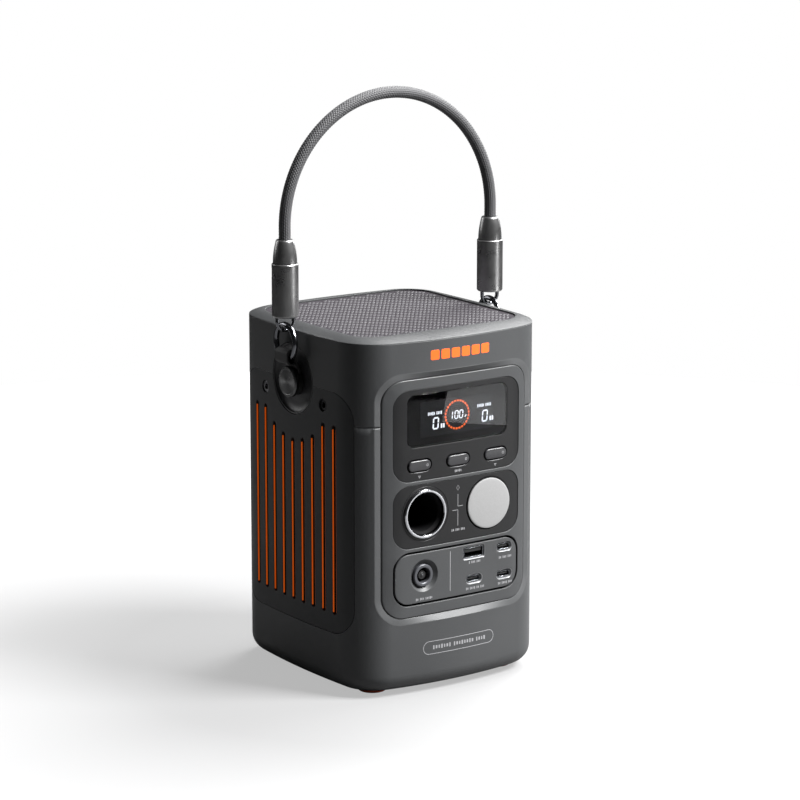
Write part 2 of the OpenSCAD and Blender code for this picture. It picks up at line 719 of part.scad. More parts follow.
lower_shell();
upper_shell();
top_rim();
top_mat();
feet();
base_screws();
mirror([1, 0, 0]) side_panel();  // left_side_panel
side_panel();  // right_side_panel
mirror([1, 0, 0]) vent_liner();  // left_vent_liner
vent_liner();  // right_vent_liner
dust_screens();
side_screws();
lug_cups();
mirror([1, 0, 0]) lug_button();  // left_lug_button
lug_button();  // right_lug_button
mirror([1, 0, 0]) strap();  // left_strap
strap();  // right_strap
mirror([1, 0, 0]) ring();  // left_ring
ring();  // right_ring
mirror([1, 0, 0]) shackle();  // left_shackle
shackle();  // right_shackle
mirror([1, 0, 0]) sleeve();  // left_sleeve
sleeve();  // right_sleeve
mirror([1, 0, 0]) ferrule();  // left_ferrule
ferrule();  // right_ferrule
bayonet_pins();
handle_cable();
front_plate();
display_inset();
display_glass();
lcd_module();
display_board();
socket_inset();
port_panel();
button(-1);  // button_left
button(0);  // button_power
button(1);  // button_right
button_switches();
socket_ring();
socket_barrel();
socket_contact();
lamp_lens();
lamp_reflector();
lamp_board();
dc_jack_ring();
dc_jack_body();
dc_jack_pin();
usb_a_shell();
usb_a_tongue();
usb_c_shells();
usb_c_tongues();
port_board();
main_board();
heat_sink();
power_parts();
battery_cells();
cell_holders();
bus_straps();
bms_board();
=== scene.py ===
"""Looks of the power station, built around its CAD frame.

Shapes are worked out in millimetres and turned into metres when a mesh is made.
"""
import math

import bmesh
import bpy
import numpy as np
from mathutils import Matrix, Vector
from mathutils.geometry import delaunay_2d_cdt


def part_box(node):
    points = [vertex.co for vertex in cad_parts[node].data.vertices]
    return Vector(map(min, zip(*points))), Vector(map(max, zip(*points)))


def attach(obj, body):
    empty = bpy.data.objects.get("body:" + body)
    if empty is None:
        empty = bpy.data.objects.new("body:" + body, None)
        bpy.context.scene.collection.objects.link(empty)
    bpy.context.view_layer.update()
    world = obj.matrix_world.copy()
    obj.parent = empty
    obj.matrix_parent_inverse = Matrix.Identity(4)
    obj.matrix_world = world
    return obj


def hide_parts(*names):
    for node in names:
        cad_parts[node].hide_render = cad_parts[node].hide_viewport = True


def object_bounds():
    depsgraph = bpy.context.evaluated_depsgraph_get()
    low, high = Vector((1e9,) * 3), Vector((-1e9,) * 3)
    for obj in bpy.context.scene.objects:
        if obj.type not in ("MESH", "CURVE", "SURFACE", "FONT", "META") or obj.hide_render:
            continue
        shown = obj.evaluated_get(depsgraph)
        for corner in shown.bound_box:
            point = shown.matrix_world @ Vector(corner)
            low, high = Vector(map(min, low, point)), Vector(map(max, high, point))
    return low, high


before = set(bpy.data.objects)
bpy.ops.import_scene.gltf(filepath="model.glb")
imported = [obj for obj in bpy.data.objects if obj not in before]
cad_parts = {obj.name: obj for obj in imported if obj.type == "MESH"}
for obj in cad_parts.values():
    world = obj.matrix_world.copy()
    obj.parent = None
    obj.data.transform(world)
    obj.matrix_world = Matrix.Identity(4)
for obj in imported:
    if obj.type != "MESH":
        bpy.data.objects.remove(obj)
cad_low, cad_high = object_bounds()

MM = 0.001
TAU = 2 * math.pi


def mm_box(node):
    """Lowest and highest corner of a CAD node, in millimetres."""
    low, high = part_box(node)
    return np.array(low) / MM, np.array(high) / MM


# ---- sizes ----
shell_low, shell_high = mm_box("lower_shell")
half_w, half_d = shell_high[0], shell_high[1]
base_z = shell_low[2]
seam_z = mm_box("upper_shell")[0][2]
crease_z = mm_box("upper_shell")[1][2]
crest_z = mm_box("top_rim")[1][2]
side_r, front_r, corner_r, bottom_r = 480.0, 245.0, 25.5, 10.0
plate_low, plate_high = mm_box("front_plate")
plate_hw = plate_high[0]
plate_z = (plate_low[2], plate_high[2])
plate_corner = 12.5
plate_y = plate_low[1]
plate_r, plate_flat, plate_side_r = 900.0, 36.0, 28.0
plate_c = plate_y + plate_r
roll_a = math.asin(plate_flat / plate_r)
roll_x = (plate_r - plate_side_r) * math.sin(roll_a)
roll_y = plate_c - (plate_r - plate_side_r) * math.cos(roll_a)
bevel_hw, bevel_z, bevel_r = 52.3, (41.6, 183.3), 15.5
side_c, front_c = side_r - half_w, front_r - half_d


# ---- plan outline of the case ----
corner_x, corner_y = half_w - corner_r, half_d - corner_r
for _ in range(40):
    corner_x, corner_y = (
        math.sqrt((side_r - corner_r) ** 2 - corner_y ** 2) - side_c,
        math.sqrt((front_r - corner_r) ** 2 - corner_x ** 2) - front_c,
    )
side_a = math.asin(corner_y / (side_r - corner_r))
front_a = math.asin(corner_x / (front_r - corner_r))
quarter = math.pi / 2
ARCS = np.array([  # centre x, centre y, radius, first angle, last angle, anticlockwise from the back
    (0, -front_c, front_r, quarter, quarter + front_a),
    (-corner_x, corner_y, corner_r, quarter + front_a, 2 * quarter - side_a),
    (side_c, 0, side_r, 2 * quarter - side_a, 2 * quarter + side_a),
    (-corner_x, -corner_y, corner_r, 2 * quarter + side_a, 3 * quarter - front_a),
    (0, front_c, front_r, 3 * quarter - front_a, 3 * quarter + front_a),
    (corner_x, -corner_y, corner_r, 3 * quarter + front_a, 4 * quarter - side_a),
    (-side_c, 0, side_r, 4 * quarter - side_a, 4 * quarter + side_a),
    (corner_x, corner_y, corner_r, 4 * quarter + side_a, 5 * quarter - front_a),
    (0, -front_c, front_r, 5 * quarter - front_a, 5 * quarter),
])
ARC_ENDS = np.concatenate([[0], np.cumsum(ARCS[:, 2] * (ARCS[:, 4] - ARCS[:, 3]))])
around = ARC_ENDS[-1]
s_left = (ARC_ENDS[2] + ARC_ENDS[3]) / 2
s_front = (ARC_ENDS[4] + ARC_ENDS[5]) / 2
s_right = (ARC_ENDS[6] + ARC_ENDS[7]) / 2


def plan(s, inset=0.0):
    """Point on the outline at distance s along it, moved inwards by inset."""
    s = np.clip(np.asarray(s, float), 0, around)
    k = np.clip(np.searchsorted(ARC_ENDS, s, side="right") - 1, 0, len(ARCS) - 1)
    cx, cy, r, first = ARCS[k, 0], ARCS[k, 1], ARCS[k, 2], ARCS[k, 3]
    a = first + (s - ARC_ENDS[k]) / r
    return np.stack([cx + (r - inset) * np.cos(a), cy + (r - inset) * np.sin(a)], -1)


def wall(s, z, inset=0.0):
    """Point on the case's wall."""
    xy = plan(s, inset)
    return np.concatenate([xy, np.broadcast_to(np.asarray(z, float), xy.shape[:1])[:, None]], 1)


def along(offset, r, half_angle, corner):
    """Length along the outline from a face's middle to a sideways offset from it."""
    a = abs(offset)
    if a < r * math.sin(half_angle):
        length = r * math.asin(a / r)
    else:
        turn = math.asin(min(1.0, (a - corner) / corner_r)) - half_angle
        length = r * half_angle + corner_r * turn
    return math.copysign(length, offset)


def s_of_x(x):
    return s_front + along(x, front_r, front_a, corner_x)


def s_of_y(y, side):
    """side is -1 for the left face and 1 for the right one."""
    return (s_right if side > 0 else s_left) + side * along(y, side_r, side_a, corner_y)


def case_y(x):
    x = np.abs(np.asarray(x, float))
    bulge = front_c - np.sqrt(front_r ** 2 - np.minimum(x, front_r) ** 2)
    turned = -corner_y - np.sqrt(np.maximum(corner_r ** 2 - (x - corner_x) ** 2, 0))
    return np.where(x < front_r * math.sin(front_a), bulge, turned)


def face(x, z, depth=0.0):
    """Point on the front plate's face, sunk by depth: a flat middle with rolled sides."""
    x = np.asarray(x, float)
    rolled = roll_y - np.sqrt(plate_side_r ** 2 - np.maximum(np.abs(x) - roll_x, 0) ** 2)
    y = np.where(np.abs(x) < plate_flat, plate_c - np.sqrt(plate_r ** 2 - x ** 2), rolled) + depth
    return np.stack([x, y, np.broadcast_to(z, x.shape)], -1)


def case_face(x, z, depth=0.0):
    """Point on the case's front, sunk by depth."""
    x = np.asarray(x, float)
    return np.stack([x, case_y(x) + depth, np.broadcast_to(z, x.shape)], -1)


# ---- mesh tools ----
class Part:
    """Vertices and faces in millimetres."""

    def __init__(self):
        self.points, self.faces, self.paint, self.count = [], [], [], 0

    def add(self, points, faces, paint=0):
        points = np.asarray(points, float).reshape(-1, 3)
        self.points.append(points)
        self.faces += [[int(i) + self.count for i in f] for f in faces]
        self.paint += [paint] * len(faces)
        self.count += len(points)
        return self

    def strips(self, rings, closed=True, paint=0, flip=False):
        """Skin through rings that have the same number of points."""
        n = len(rings[0])
        last = n if closed else n - 1
        faces = []
        for k in range(len(rings) - 1):
            for i in range(last):
                a, b = k * n + i, k * n + (i + 1) % n
                quad = [a, a + n, b + n, b]
                faces.append(quad[::-1] if flip else quad)
        return self.add(np.concatenate(rings), faces, paint)

    def cap(self, ring, paint=0, flip=False):
        order = list(range(len(ring)))
        return self.add(ring, [order[::-1] if flip else order], paint)

    def join(self, other, paint=None):
        for points in other.points:
            self.points.append(points)
        self.faces += [[i + self.count for i in f] for f in other.faces]
        self.paint += other.paint if paint is None else [paint] * len(other.faces)
        self.count += other.count
        return self


class Rect:
    """Rounded rectangle on a sheet. A circle or a stadium is one too."""

    def __init__(self, u, v, hu, hv, r, step=2.0, counts=None):
        self.u, self.v, self.hu, self.hv, self.r = u, v, hu, hv, min(r, hu, hv)
        turn = max(4, math.ceil(self.r * quarter / min(step, max(0.2, self.r * 0.17))))
        self.counts = counts or (
            turn,
            max(1, round(2 * (hv - self.r) / step)),
            max(1, round(2 * (hu - self.r) / step)),
        )

    def loop(self, grow=0.0):
        r = max(self.r + grow, 0.01)
        iu, iv = self.hu + grow - r, self.hv + grow - r
        turn, nv, nu = self.counts
        corners = ((iu, iv), (-iu, iv), (-iu, -iv), (iu, -iv))
        out = []
        for k, (cu, cv) in enumerate(corners):
            pu, pv = corners[k - 1]
            straight = self.hv - self.r if k % 2 == 0 else self.hu - self.r
            a0 = k * quarter
            start = np.array([pu + r * math.cos(a0), pv + r * math.sin(a0)])
            end = np.array([cu + r * math.cos(a0), cv + r * math.sin(a0)])
            n = nv if k % 2 == 0 else nu
            if straight > 1e-6:
                out += [start + (end - start) * i / n for i in range(1, n + 1)]
            for i in range(1, turn + 1):
                a = a0 + quarter * i / turn
                out.append(np.array([cu + r * math.cos(a), cv + r * math.sin(a)]))
        return np.array(out) + [self.u, self.v]


def circle(u, v, r, step=1.0):
    return Rect(u, v, r, r, r, step)


class Bitten:
    """Rounded rectangle whose top edge joins a circle, or has it bitten out."""

    def __init__(self, u, hu, low, high, r, cv, cr, bite):
        self.u, self.hu, self.low, self.high, self.r = u, hu, low, high, r
        self.cv, self.cr, self.bite = cv, cr, bite

    def loop(self, grow=0.0):
        top = self.high + grow
        r = self.r + grow
        cr = self.cr - grow if self.bite else self.cr + grow
        rise = math.asin((top - self.cv) / cr)
        du = cr * math.cos(rise)
        iu = self.hu + grow - r
        low = self.low - grow
        out = []

        def line(a, b, n):
            out.extend(np.array(a) + (np.array(b) - np.array(a)) * i / n for i in range(1, n + 1))

        def turn(cu, cv, a0, a1, n, radius):
            for i in range(1, n + 1):
                a = a0 + (a1 - a0) * i / n
                out.append(np.array([cu + radius * math.cos(a), cv + radius * math.sin(a)]))

        line((iu + r, low + r), (iu + r, top - r), 34)
        turn(iu, top - r, 0, quarter, 12, r)
        line((iu, top), (du, top), 8)
        end = -math.pi - rise if self.bite else math.pi - rise
        turn(0, self.cv, rise, end, 36, cr)
        line((-du, top), (-iu, top), 8)
        turn(-iu, top - r, quarter, 2 * quarter, 12, r)
        line((-iu - r, top - r), (-iu - r, low + r), 34)
        turn(-iu, low + r, 2 * quarter, 3 * quarter, 12, r)
        line((-iu, low), (iu, low), 24)
        turn(iu, low + r, 3 * quarter, 4 * quarter, 12, r)
        return np.array(out) + [self.u, 0]


def inside(points, loop):
    """Which points lie inside a closed loop."""
    x, y = points[:, 0][:, None], points[:, 1][:, None]
    ax, ay = loop[:, 0][None], loop[:, 1][None]
    bx, by = np.roll(loop[:, 0], -1)[None], np.roll(loop[:, 1], -1)[None]
    crosses = (ay > y) != (by > y)
    at = ax + (y - ay) * (bx - ax) / np.where(by == ay, 1e-12, by - ay)
    return (np.sum(crosses & (x < at), 1) % 2) == 1


def region(outer, holes=(), lines=(), grid=None, clear=1.0):
    """Triangles over the area inside outer and outside holes, with lines among their edges."""
    points, edges = [], []
    for loop in (outer, *holes, *lines):
        n, k = len(loop), len(points)
        points += [tuple(p) for p in loop]
        edges += [(k + i, k + (i + 1) % n) for i in range(n)]
    if grid is not None and len(grid):
        near = np.array(points)
        keep = []
        for chunk in np.array_split(grid, max(1, len(grid) // 500)):
            d = np.min(np.sum((chunk[:, None] - near[None]) ** 2, 2), 1)
            keep.append(chunk[d > clear ** 2])
        points += [tuple(p) for p in np.concatenate(keep)]
    made = delaunay_2d_cdt([Vector(p) for p in points], edges, [], 0, 1e-7, False)
    v = np.array([tuple(p) for p in made[0]])
    f = np.array([t for t in made[2]])
    middle = v[f].mean(1)
    keep = inside(middle, outer)
    for hole in holes:
        keep &= ~inside(middle, hole)
    return v, f[keep]


def grid_over(loop, step_u, step_v=None):
    step_v = step_v or step_u
    low, high = loop.min(0), loop.max(0)
    us = np.arange(low[0] + step_u / 2, high[0], step_u)
    vs = np.arange(low[1] + step_v / 2, high[1], step_v)
    return np.array([(u, v) for u in us for v in vs])


def lip(r, thick, back=0.0, n=4):
    """Edge of a slab as [distance in from the edge, depth]: a fillet, a wall, a fillet at the back."""
    turn = [i * quarter / n for i in range(n + 1)]
    front = [(r * (1 - math.sin(a)), r * (1 - math.cos(a))) for a in turn]
    if not back:
        return front + [(0, thick)]
    rear = [(back * (1 - math.cos(a)), thick - back * (1 - math.sin(a))) for a in turn]
    return front + rear


def slab(place, outer, holes=(), thick=2.0, edge=None, hole_edges=None, step=4.0, dent=None,
         lines=(), clear=None, hole_paints=None):
    """Closed plate on a curved sheet. place(u, v, depth) gives a point."""
    part = Part()
    edge = edge or lip(0.3, thick)
    hole_edges = hole_edges or [lip(0.2, thick)] * len(holes)
    rim = outer.loop(-edge[0][0])
    tops = [h.loop(e[0][0]) for h, e in zip(holes, hole_edges)]
    v, f = region(rim, tops, lines, grid_over(rim, step), clear or step * 0.45)
    depth = dent(v) if dent else np.zeros(len(v))
    part.add(place(v[:, 0], v[:, 1], depth), f)
    part.add(place(v[:, 0], v[:, 1], thick + depth * 0), [t[::-1] for t in f])
    paints = hole_paints or [0] * len(holes)
    borders = [(outer, edge, -1, 0)] + [(h, e, 1, p) for h, e, p in zip(holes, hole_edges, paints)]
    for shape, profile, sign, paint in borders:
        rings = [place(*shape.loop(sign * o).T, d) for o, d in profile + [(profile[0][0], thick)]]
        part.strips(rings, flip=sign > 0, paint=paint)
    return part


def fillets(points, n=5):
    """Polyline whose corners are rounded; a point is (a, b) or (a, b, radius)."""
    out = []
    for i, p in enumerate(points):
        here = np.array(p[:2], float)
        r = p[2] if len(p) > 2 else 0
        if not r or i in (0, len(points) - 1):
            out.append(here)
            continue
        back = np.array(points[i - 1][:2], float) - here
        on = np.array(points[i + 1][:2], float) - here
        lb, lo = np.linalg.norm(back), np.linalg.norm(on)
        back, on = back / lb, on / lo
        cosine = float(np.clip(back @ on, -1, 1))
        half = math.acos(cosine) / 2
        if half > quarter - 0.02:
            out.append(here)
            continue
        reach = min(r / math.tan(half), lb * 0.49, lo * 0.49)
        r = reach * math.tan(half)
        middle = here + (back + on) / np.linalg.norm(back + on) * r / math.sin(half)
        a, b = here + back * reach - middle, here + on * reach - middle
        a0, a1 = math.atan2(a[1], a[0]), math.atan2(b[1], b[0])
        turn = (a1 - a0 + math.pi) % TAU - math.pi
        out += [middle + r * np.array([math.cos(a0 + turn * k / n), math.sin(a0 + turn * k / n)])
                for k in range(n + 1)]
    return np.array(out)


def lathe(profile, place, n=72):
    """Turned solid or skin; profile is [radius, height] and place(x, y, height) puts it in the frame."""
    part = Part()
    angles = np.arange(n) * TAU / n
    rings = []
    for r, h in profile:
        if r < 1e-6:
            rings.append(place(np.zeros(1), np.zeros(1), np.array([h])))
        else:
            rings.append(place(r * np.cos(angles), r * np.sin(angles), np.full(n, h)))
    start = np.cumsum([0] + [len(ring) for ring in rings])
    faces = []
    for i in range(len(rings) - 1):
        a, b = start[i], start[i + 1]
        for j in range(n):
            j2 = (j + 1) % n
            if len(rings[i]) == 1:
                faces.append([a, b + j, b + j2])
            elif len(rings[i + 1]) == 1:
                faces.append([a + j, b, a + j2])
            else:
                faces.append([a + j, b + j, b + j2, a + j2])
    return part.add(np.concatenate(rings), faces)


def facing_front(x0, z0, y0=0.0):
    """Lathe placement round a line along Y, heights counted as y."""
    return lambda a, b, h: np.stack([x0 + a, y0 + h, z0 + b], -1)


def facing_side(side, z0):
    """Lathe placement round a line along X, heights counted as distance from the middle."""
    return lambda a, b, h: np.stack([side * h, a, z0 + b], -1)


def upright(x0, y0=0.0):
    """Lathe placement round a line along Z."""
    return lambda a, b, h: np.stack([x0 + a, y0 + b, h], -1)


def tube(path, radius, n=24, closed=False):
    """Round wire along a path of points."""
    path = np.asarray(path, float)
    m = len(path)
    part = Part()
    ahead = np.roll(path, -1, 0) - np.roll(path, 1, 0)
    if not closed:
        ahead[0], ahead[-1] = path[1] - path[0], path[-1] - path[-2]
    ahead /= np.linalg.norm(ahead, axis=1)[:, None]
    side = np.cross(ahead[0], (0.31, 0.17, 0.93))
    side /= np.linalg.norm(side)
    rings = []
    a = np.arange(n) * TAU / n
    for i in range(m):
        side = side - ahead[i] * (side @ ahead[i])
        side /= np.linalg.norm(side)
        other = np.cross(ahead[i], side)
        rings.append(path[i] + radius * (np.outer(np.cos(a), side) + np.outer(np.sin(a), other)))
    if closed:
        rings.append(rings[0])
        return part.strips(rings)
    part.strips(rings)
    part.cap(rings[0])
    return part.cap(rings[-1], flip=True)


def ribbon(place, path, width, lift=0.03, closed=False, deep=0.06):
    """Thin raised line along a path on a sheet, as a closed strip."""
    path = np.asarray(path, float)
    ahead = np.roll(path, -1, 0) - np.roll(path, 1, 0)
    if not closed:
        ahead[0], ahead[-1] = path[1] - path[0], path[-1] - path[-2]
    ahead /= np.linalg.norm(ahead, axis=1)[:, None]
    normal = np.stack([-ahead[:, 1], ahead[:, 0]], 1) * width / 2
    left, right = path + normal, path - normal
    rings = [place(*left.T, deep - lift), place(*left.T, -lift), place(*right.T, -lift),
             place(*right.T, deep - lift)]
    part = Part()
    stacked = [np.array([r[i] for r in rings]) for i in range(len(path))]
    if closed:
        return part.strips(stacked + [stacked[0]])
    part.strips(stacked)
    part.cap(stacked[0], flip=True)
    return part.cap(stacked[-1])


def decal(place, shape, lift=0.03, deep=0.06, step=2.5):
    """Thin raised patch in the outline of a shape."""
    return slab(lambda u, v, d: place(u, v, d - lift), shape, thick=deep,
                edge=[(0.02, 0), (0, 0.02), (0, deep)],
                step=step)


def straight(a, b, step=2.0):
    """Points along a line on a sheet."""
    a, b = np.array(a, float), np.array(b, float)
    n = max(1, math.ceil(np.linalg.norm(b - a) / step))
    return np.array([a + (b - a) * i / n for i in range(n + 1)])


MERGE = 1e-6  # metres


def piece(name, part, materials, nodes=(), body="case", smooth=32, normals=True):
    """Makes a mesh of a part, gives it its materials and puts it on its body.

    Materials go by name.
    """
    mesh = bpy.data.meshes.new(name)
    bm = bmesh.new()
    verts = [bm.verts.new(p) for p in np.concatenate(part.points) * MM]
    for f, paint in zip(part.faces, part.paint):
        try:
            made = bm.faces.new([verts[i] for i in f])
            made.material_index = paint
        except ValueError:
            pass
    bmesh.ops.remove_doubles(bm, verts=bm.verts, dist=MERGE)
    bmesh.ops.dissolve_degenerate(bm, edges=bm.edges, dist=MERGE / 10)
    bmesh.ops.recalc_face_normals(bm, faces=bm.faces)
    loose = [v for v in bm.verts if not v.link_faces]
    bmesh.ops.delete(bm, geom=loose, context="VERTS")
    bm.to_mesh(mesh)
    bm.free()
    mesh.shade_smooth()
    mesh.set_sharp_from_angle(angle=math.radians(smooth))
    names = materials if isinstance(materials, list) else [materials]
    for m in names:
        mesh.materials.append(look[m])
    obj = bpy.data.objects.new(name, mesh)
    bpy.context.scene.collection.objects.link(obj)
    if normals:
        obj.modifiers.new("normals", "WEIGHTED_NORMAL").keep_sharp = True
    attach(obj, body)
    if nodes:
        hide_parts(*nodes)
    return obj


# ---- materials ----
def srgb(*values):
    """Linear colour of an sRGB one given in 0 to 255."""
    if len(values) == 1:
        values = values * 3
    linear = [v / 255 / 12.92 if v <= 10.3 else ((v / 255 + 0.055) / 1.055) ** 2.4 for v in values]
    return (*linear, 1.0)


class Tree:
    """Short ways to add nodes to a material."""

    def __init__(self, name):
        self.material = bpy.data.materials.new(name)
        self.material.use_nodes = True
        self.nodes, self.links = self.material.node_tree.nodes, self.material.node_tree.links
        self.shader = self.nodes["Principled BSDF"]
        self.coords = self.nodes.new("ShaderNodeTexCoord").outputs["Object"]

    def put(self, socket, value):
        if hasattr(value, "node"):
            self.links.new(value, socket)
        else:
            socket.default_value = value

    def noise(self, size, detail=2.0, rough=0.5):
        n = self.nodes.new("ShaderNodeTexNoise")
        n.inputs["Scale"].default_value = 1 / (size * MM)
        n.inputs["Detail"].default_value = detail
        n.inputs["Roughness"].default_value = rough
        self.put(n.inputs["Vector"], self.coords)
        return n.outputs["Fac"]

    def span(self, value, low, high, to_low, to_high):
        n = self.nodes.new("ShaderNodeMapRange")
        for key, v in zip(("Value", "From Min", "From Max", "To Min", "To Max"),
                          (value, low, high, to_low, to_high)):
            self.put(n.inputs[key], v)
        return n.outputs["Result"]

    def math(self, how, a, b):
        n = self.nodes.new("ShaderNodeMath")
        n.operation = how
        self.put(n.inputs[0], a)
        self.put(n.inputs[1], b)
        return n.outputs[0]

    def mix(self, share, a, b):
        n = self.nodes.new("ShaderNodeMix")
        n.data_type = "RGBA"
        self.put(n.inputs[0], share)
        self.put(n.inputs[6], a)
        self.put(n.inputs[7], b)
        return n.outputs[2]

    def edges(self):
        geometry = self.nodes.new("ShaderNodeNewGeometry")
        return self.span(geometry.outputs["Pointiness"], 0.53, 0.62, 0.0, 1.0)

    def bump(self, height, distance):
        n = self.nodes.new("ShaderNodeBump")
        n.inputs["Strength"].default_value = 1.0
        n.inputs["Distance"].default_value = distance * MM
        self.put(n.inputs["Height"], height)
        self.put(self.shader.inputs["Normal"], n.outputs["Normal"])


def finish(name, colour, roughness, grain, depth, metal=0.0, tint=0.12, wear=0.25, spread=0.08,
           specular=0.5, sheen=0.0, lit=0.0):
    """Moulded, painted or metal finish: grain, uneven gloss, slight colour drift and worn edges; lit gives a
    painted glow.
    """
    t = Tree(name)
    fine = t.noise(grain, 3.0, 0.6)
    broad = t.noise(38.0, 3.0, 0.55)
    dark = tuple(c * (1 - tint) for c in colour[:3]) + (1.0,)
    light = tuple(min(1.0, c * (1 + tint)) for c in colour[:3]) + (1.0,)
    base = t.mix(t.span(t.math("ADD", t.math("MULTIPLY", fine, 0.6), t.math("MULTIPLY", broad, 0.4)),
                        0.3, 0.7, 0.0, 1.0), dark, light)
    if wear:
        rubbed = tuple(min(1.0, c * 1.8 + 0.02) for c in colour[:3]) + (1.0,)
        patchy = t.math("MULTIPLY", t.edges(), t.span(t.noise(5.0, 4.0), 0.4, 0.7, 0.0, wear))
        base = t.mix(patchy, base, rubbed)
    t.put(t.shader.inputs["Base Color"], base)
    t.put(t.shader.inputs["Roughness"],
          t.span(t.math("ADD", t.math("MULTIPLY", fine, 0.5), t.math("MULTIPLY", broad, 0.5)),
                 0.3, 0.7, max(0.02, roughness - spread), roughness + spread))
    for key, value in (("Metallic", metal), ("Specular IOR Level", specular), ("Sheen Weight", sheen),
                       ("Emission Color", colour), ("Emission Strength", lit)):
        t.shader.inputs[key].default_value = value
    t.bump(fine, depth)
    return t.material


FINISHES = {  # colour, roughness, grain and relief in millimetres, and what differs from the defaults
    "case_plastic": ((56, 57, 58), 0.46, 0.42, 0.035, dict(specular=0.4)),
    "rim_plastic": ((47, 48, 49), 0.5, 0.42, 0.03, dict(specular=0.42)),
    # painted light: the window bevel is a lighter, rougher copy of the case plastic, so its lower edge reads
    # lit
    "bevel_plastic_painted_light": ((64, 65, 66), 0.58, 0.5, 0.06, dict(specular=0.55)),
    "side_plastic": ((39, 40, 41), 0.5, 0.42, 0.04, dict(specular=0.35)),
    "cup_plastic": ((46, 46, 48), 0.4, 0.3, 0.015),
    "dark_plastic": ((17, 17, 18), 0.42, 0.35, 0.02, dict(specular=0.35)),
    "black_plastic": ((14, 14, 15), 0.5, 0.3, 0.02, dict(wear=0.1)),
    "button_plastic": ((38, 38, 40), 0.32, 0.3, 0.008, dict(wear=0.15)),
    "mat_rubber": ((51, 49, 52), 0.6, 0.3, 0.02, dict(wear=0.2, specular=0.3)),
    # painted shade: the mat's base between the studs is a darker, duller copy of the mat rubber
    "mat_gap_painted_shade": ((44, 41, 45), 0.8, 0.3, 0.02, dict(wear=0.0, specular=0.1)),
    # painted glow: the vent lining's orange plastic emits light so it stays bright inside the shaded slots
    "orange_plastic": ((232, 98, 12), 0.42, 0.4, 0.02, dict(tint=0.06, wear=0.1, lit=0.36)),
    "orange_rubber": ((170, 60, 20), 0.6, 0.5, 0.03, dict(tint=0.08, wear=0.15)),
    "orange_ink": ((238, 92, 20), 0.45, 0.5, 0.004, dict(tint=0.05, wear=0.0)),
    # pale print, also used for the painted lip highlights under the buttons
    "pale_ink": ((132, 132, 134), 0.5, 0.4, 0.004, dict(tint=0.06, wear=0.0)),
    "well_black": ((6, 6, 7), 0.75, 0.3, 0.01, dict(wear=0.0, specular=0.12)),
    "screen_mesh": ((9, 9, 10), 0.75, 0.6, 0.08, dict(wear=0.0)),
    "screw_steel": ((120, 120, 122), 0.34, 0.2, 0.006, dict(metal=1.0, wear=0.2)),
    # painted shade: a darker copy of the screw steel for the front panel screws, which sit in shade
    "black_screw": ((46, 46, 48), 0.36, 0.2, 0.006, dict(metal=1.0, wear=0.3)),
    "strap_rubber": ((10, 10, 11), 0.6, 0.25, 0.03, dict(wear=0.15, sheen=0.05)),
    "dark_chrome": ((118, 119, 123), 0.18, 0.6, 0.003, dict(metal=1.0, spread=0.05)),
    "bright_chrome": ((205, 206, 210), 0.12, 0.6, 0.002, dict(metal=1.0, spread=0.04, tint=0.04)),
    "braid_cord": ((48, 48, 50), 0.62, 0.12, 0.03, dict(wear=0.0, tint=0.2, sheen=0.15)),
    "mask_black": ((8, 8, 9), 0.8, 0.4, 0.0005, dict(wear=0.0, specular=0.0)),
    "lcd_face": ((46, 47, 49), 0.8, 0.4, 0.0005, dict(wear=0.0, specular=0.0)),
    "circuit_board": ((22, 66, 44), 0.4, 0.9, 0.02, dict(wear=0.1)),
    "switch_metal": ((170, 170, 172), 0.3, 0.3, 0.004, dict(metal=1.0)),
    "contact_brass": ((196, 160, 92), 0.28, 0.3, 0.005, dict(metal=1.0)),
    "jack_metal": ((70, 71, 75), 0.42, 0.3, 0.004, dict(metal=0.3)),
    # painted highlight: the plastic mouths of the USB ports get a light half-metal colour so their lips read
    # bright
    "port_lip_painted_highlight": ((150, 151, 153), 0.34, 0.3, 0.004, dict(metal=0.5)),
    "port_metal": ((128, 130, 134), 0.26, 0.3, 0.004, dict(metal=1.0)),
    "heat_sink": ((150, 152, 156), 0.4, 0.2, 0.006, dict(metal=1.0)),
    "power_parts": ((52, 54, 66), 0.5, 0.6, 0.02),
    "cell_can": ((30, 66, 128), 0.35, 0.8, 0.006),
    "strap_nickel": ((176, 174, 168), 0.32, 0.2, 0.006, dict(metal=1.0)),
}
look = {name: finish(name, srgb(*colour), roughness, grain, depth, **(more[0] if more else {}))
        for name, (colour, roughness, grain, depth, *more) in FINISHES.items()}


def turned_metal(name, axis, inner, outer, stretch, metal=1.0):
    """Metal turned in circles round an axis, so that its highlight is drawn out across them."""
    t = Tree(name)
    tangent = t.nodes.new("ShaderNodeTangent")
    tangent.direction_type, tangent.axis = "RADIAL", axis
    t.put(t.shader.inputs["Tangent"], tangent.outputs["Tangent"])
    fine = t.noise(0.25, 3.0)
    t.put(t.shader.inputs["Base Color"], t.mix(t.span(fine, 0.3, 0.7, 0.0, 1.0), inner, outer))
    t.put(t.shader.inputs["Roughness"], t.span(t.noise(6.0), 0.3, 0.7, 0.26, 0.36))
    t.shader.inputs["Metallic"].default_value = metal
    t.shader.inputs["Anisotropic"].default_value = stretch
    t.bump(fine, 0.0015)
    return t.material


def even(name, grain, detail, base, other, gloss, depth):
    """Even finish with one fine grain in its colour, gloss and relief."""
    t = Tree(name)
    fine = t.noise(grain, detail)
    t.put(t.shader.inputs["Base Color"], t.mix(t.span(fine, 0.3, 0.7, 0.0, 1.0), base, other))
    t.put(t.shader.inputs["Roughness"], t.span(fine, 0.3, 0.7, *gloss))
    t.bump(fine, depth)
    return t


def glow(name, colour, strength, base):
    """Lit ink of the display."""
    t = even(name, 0.3, 2.0, base, colour, (0.35, 0.5), 0.001)
    t.shader.inputs["Emission Color"].default_value = colour
    t.shader.inputs["Emission Strength"].default_value = strength
    return t.material


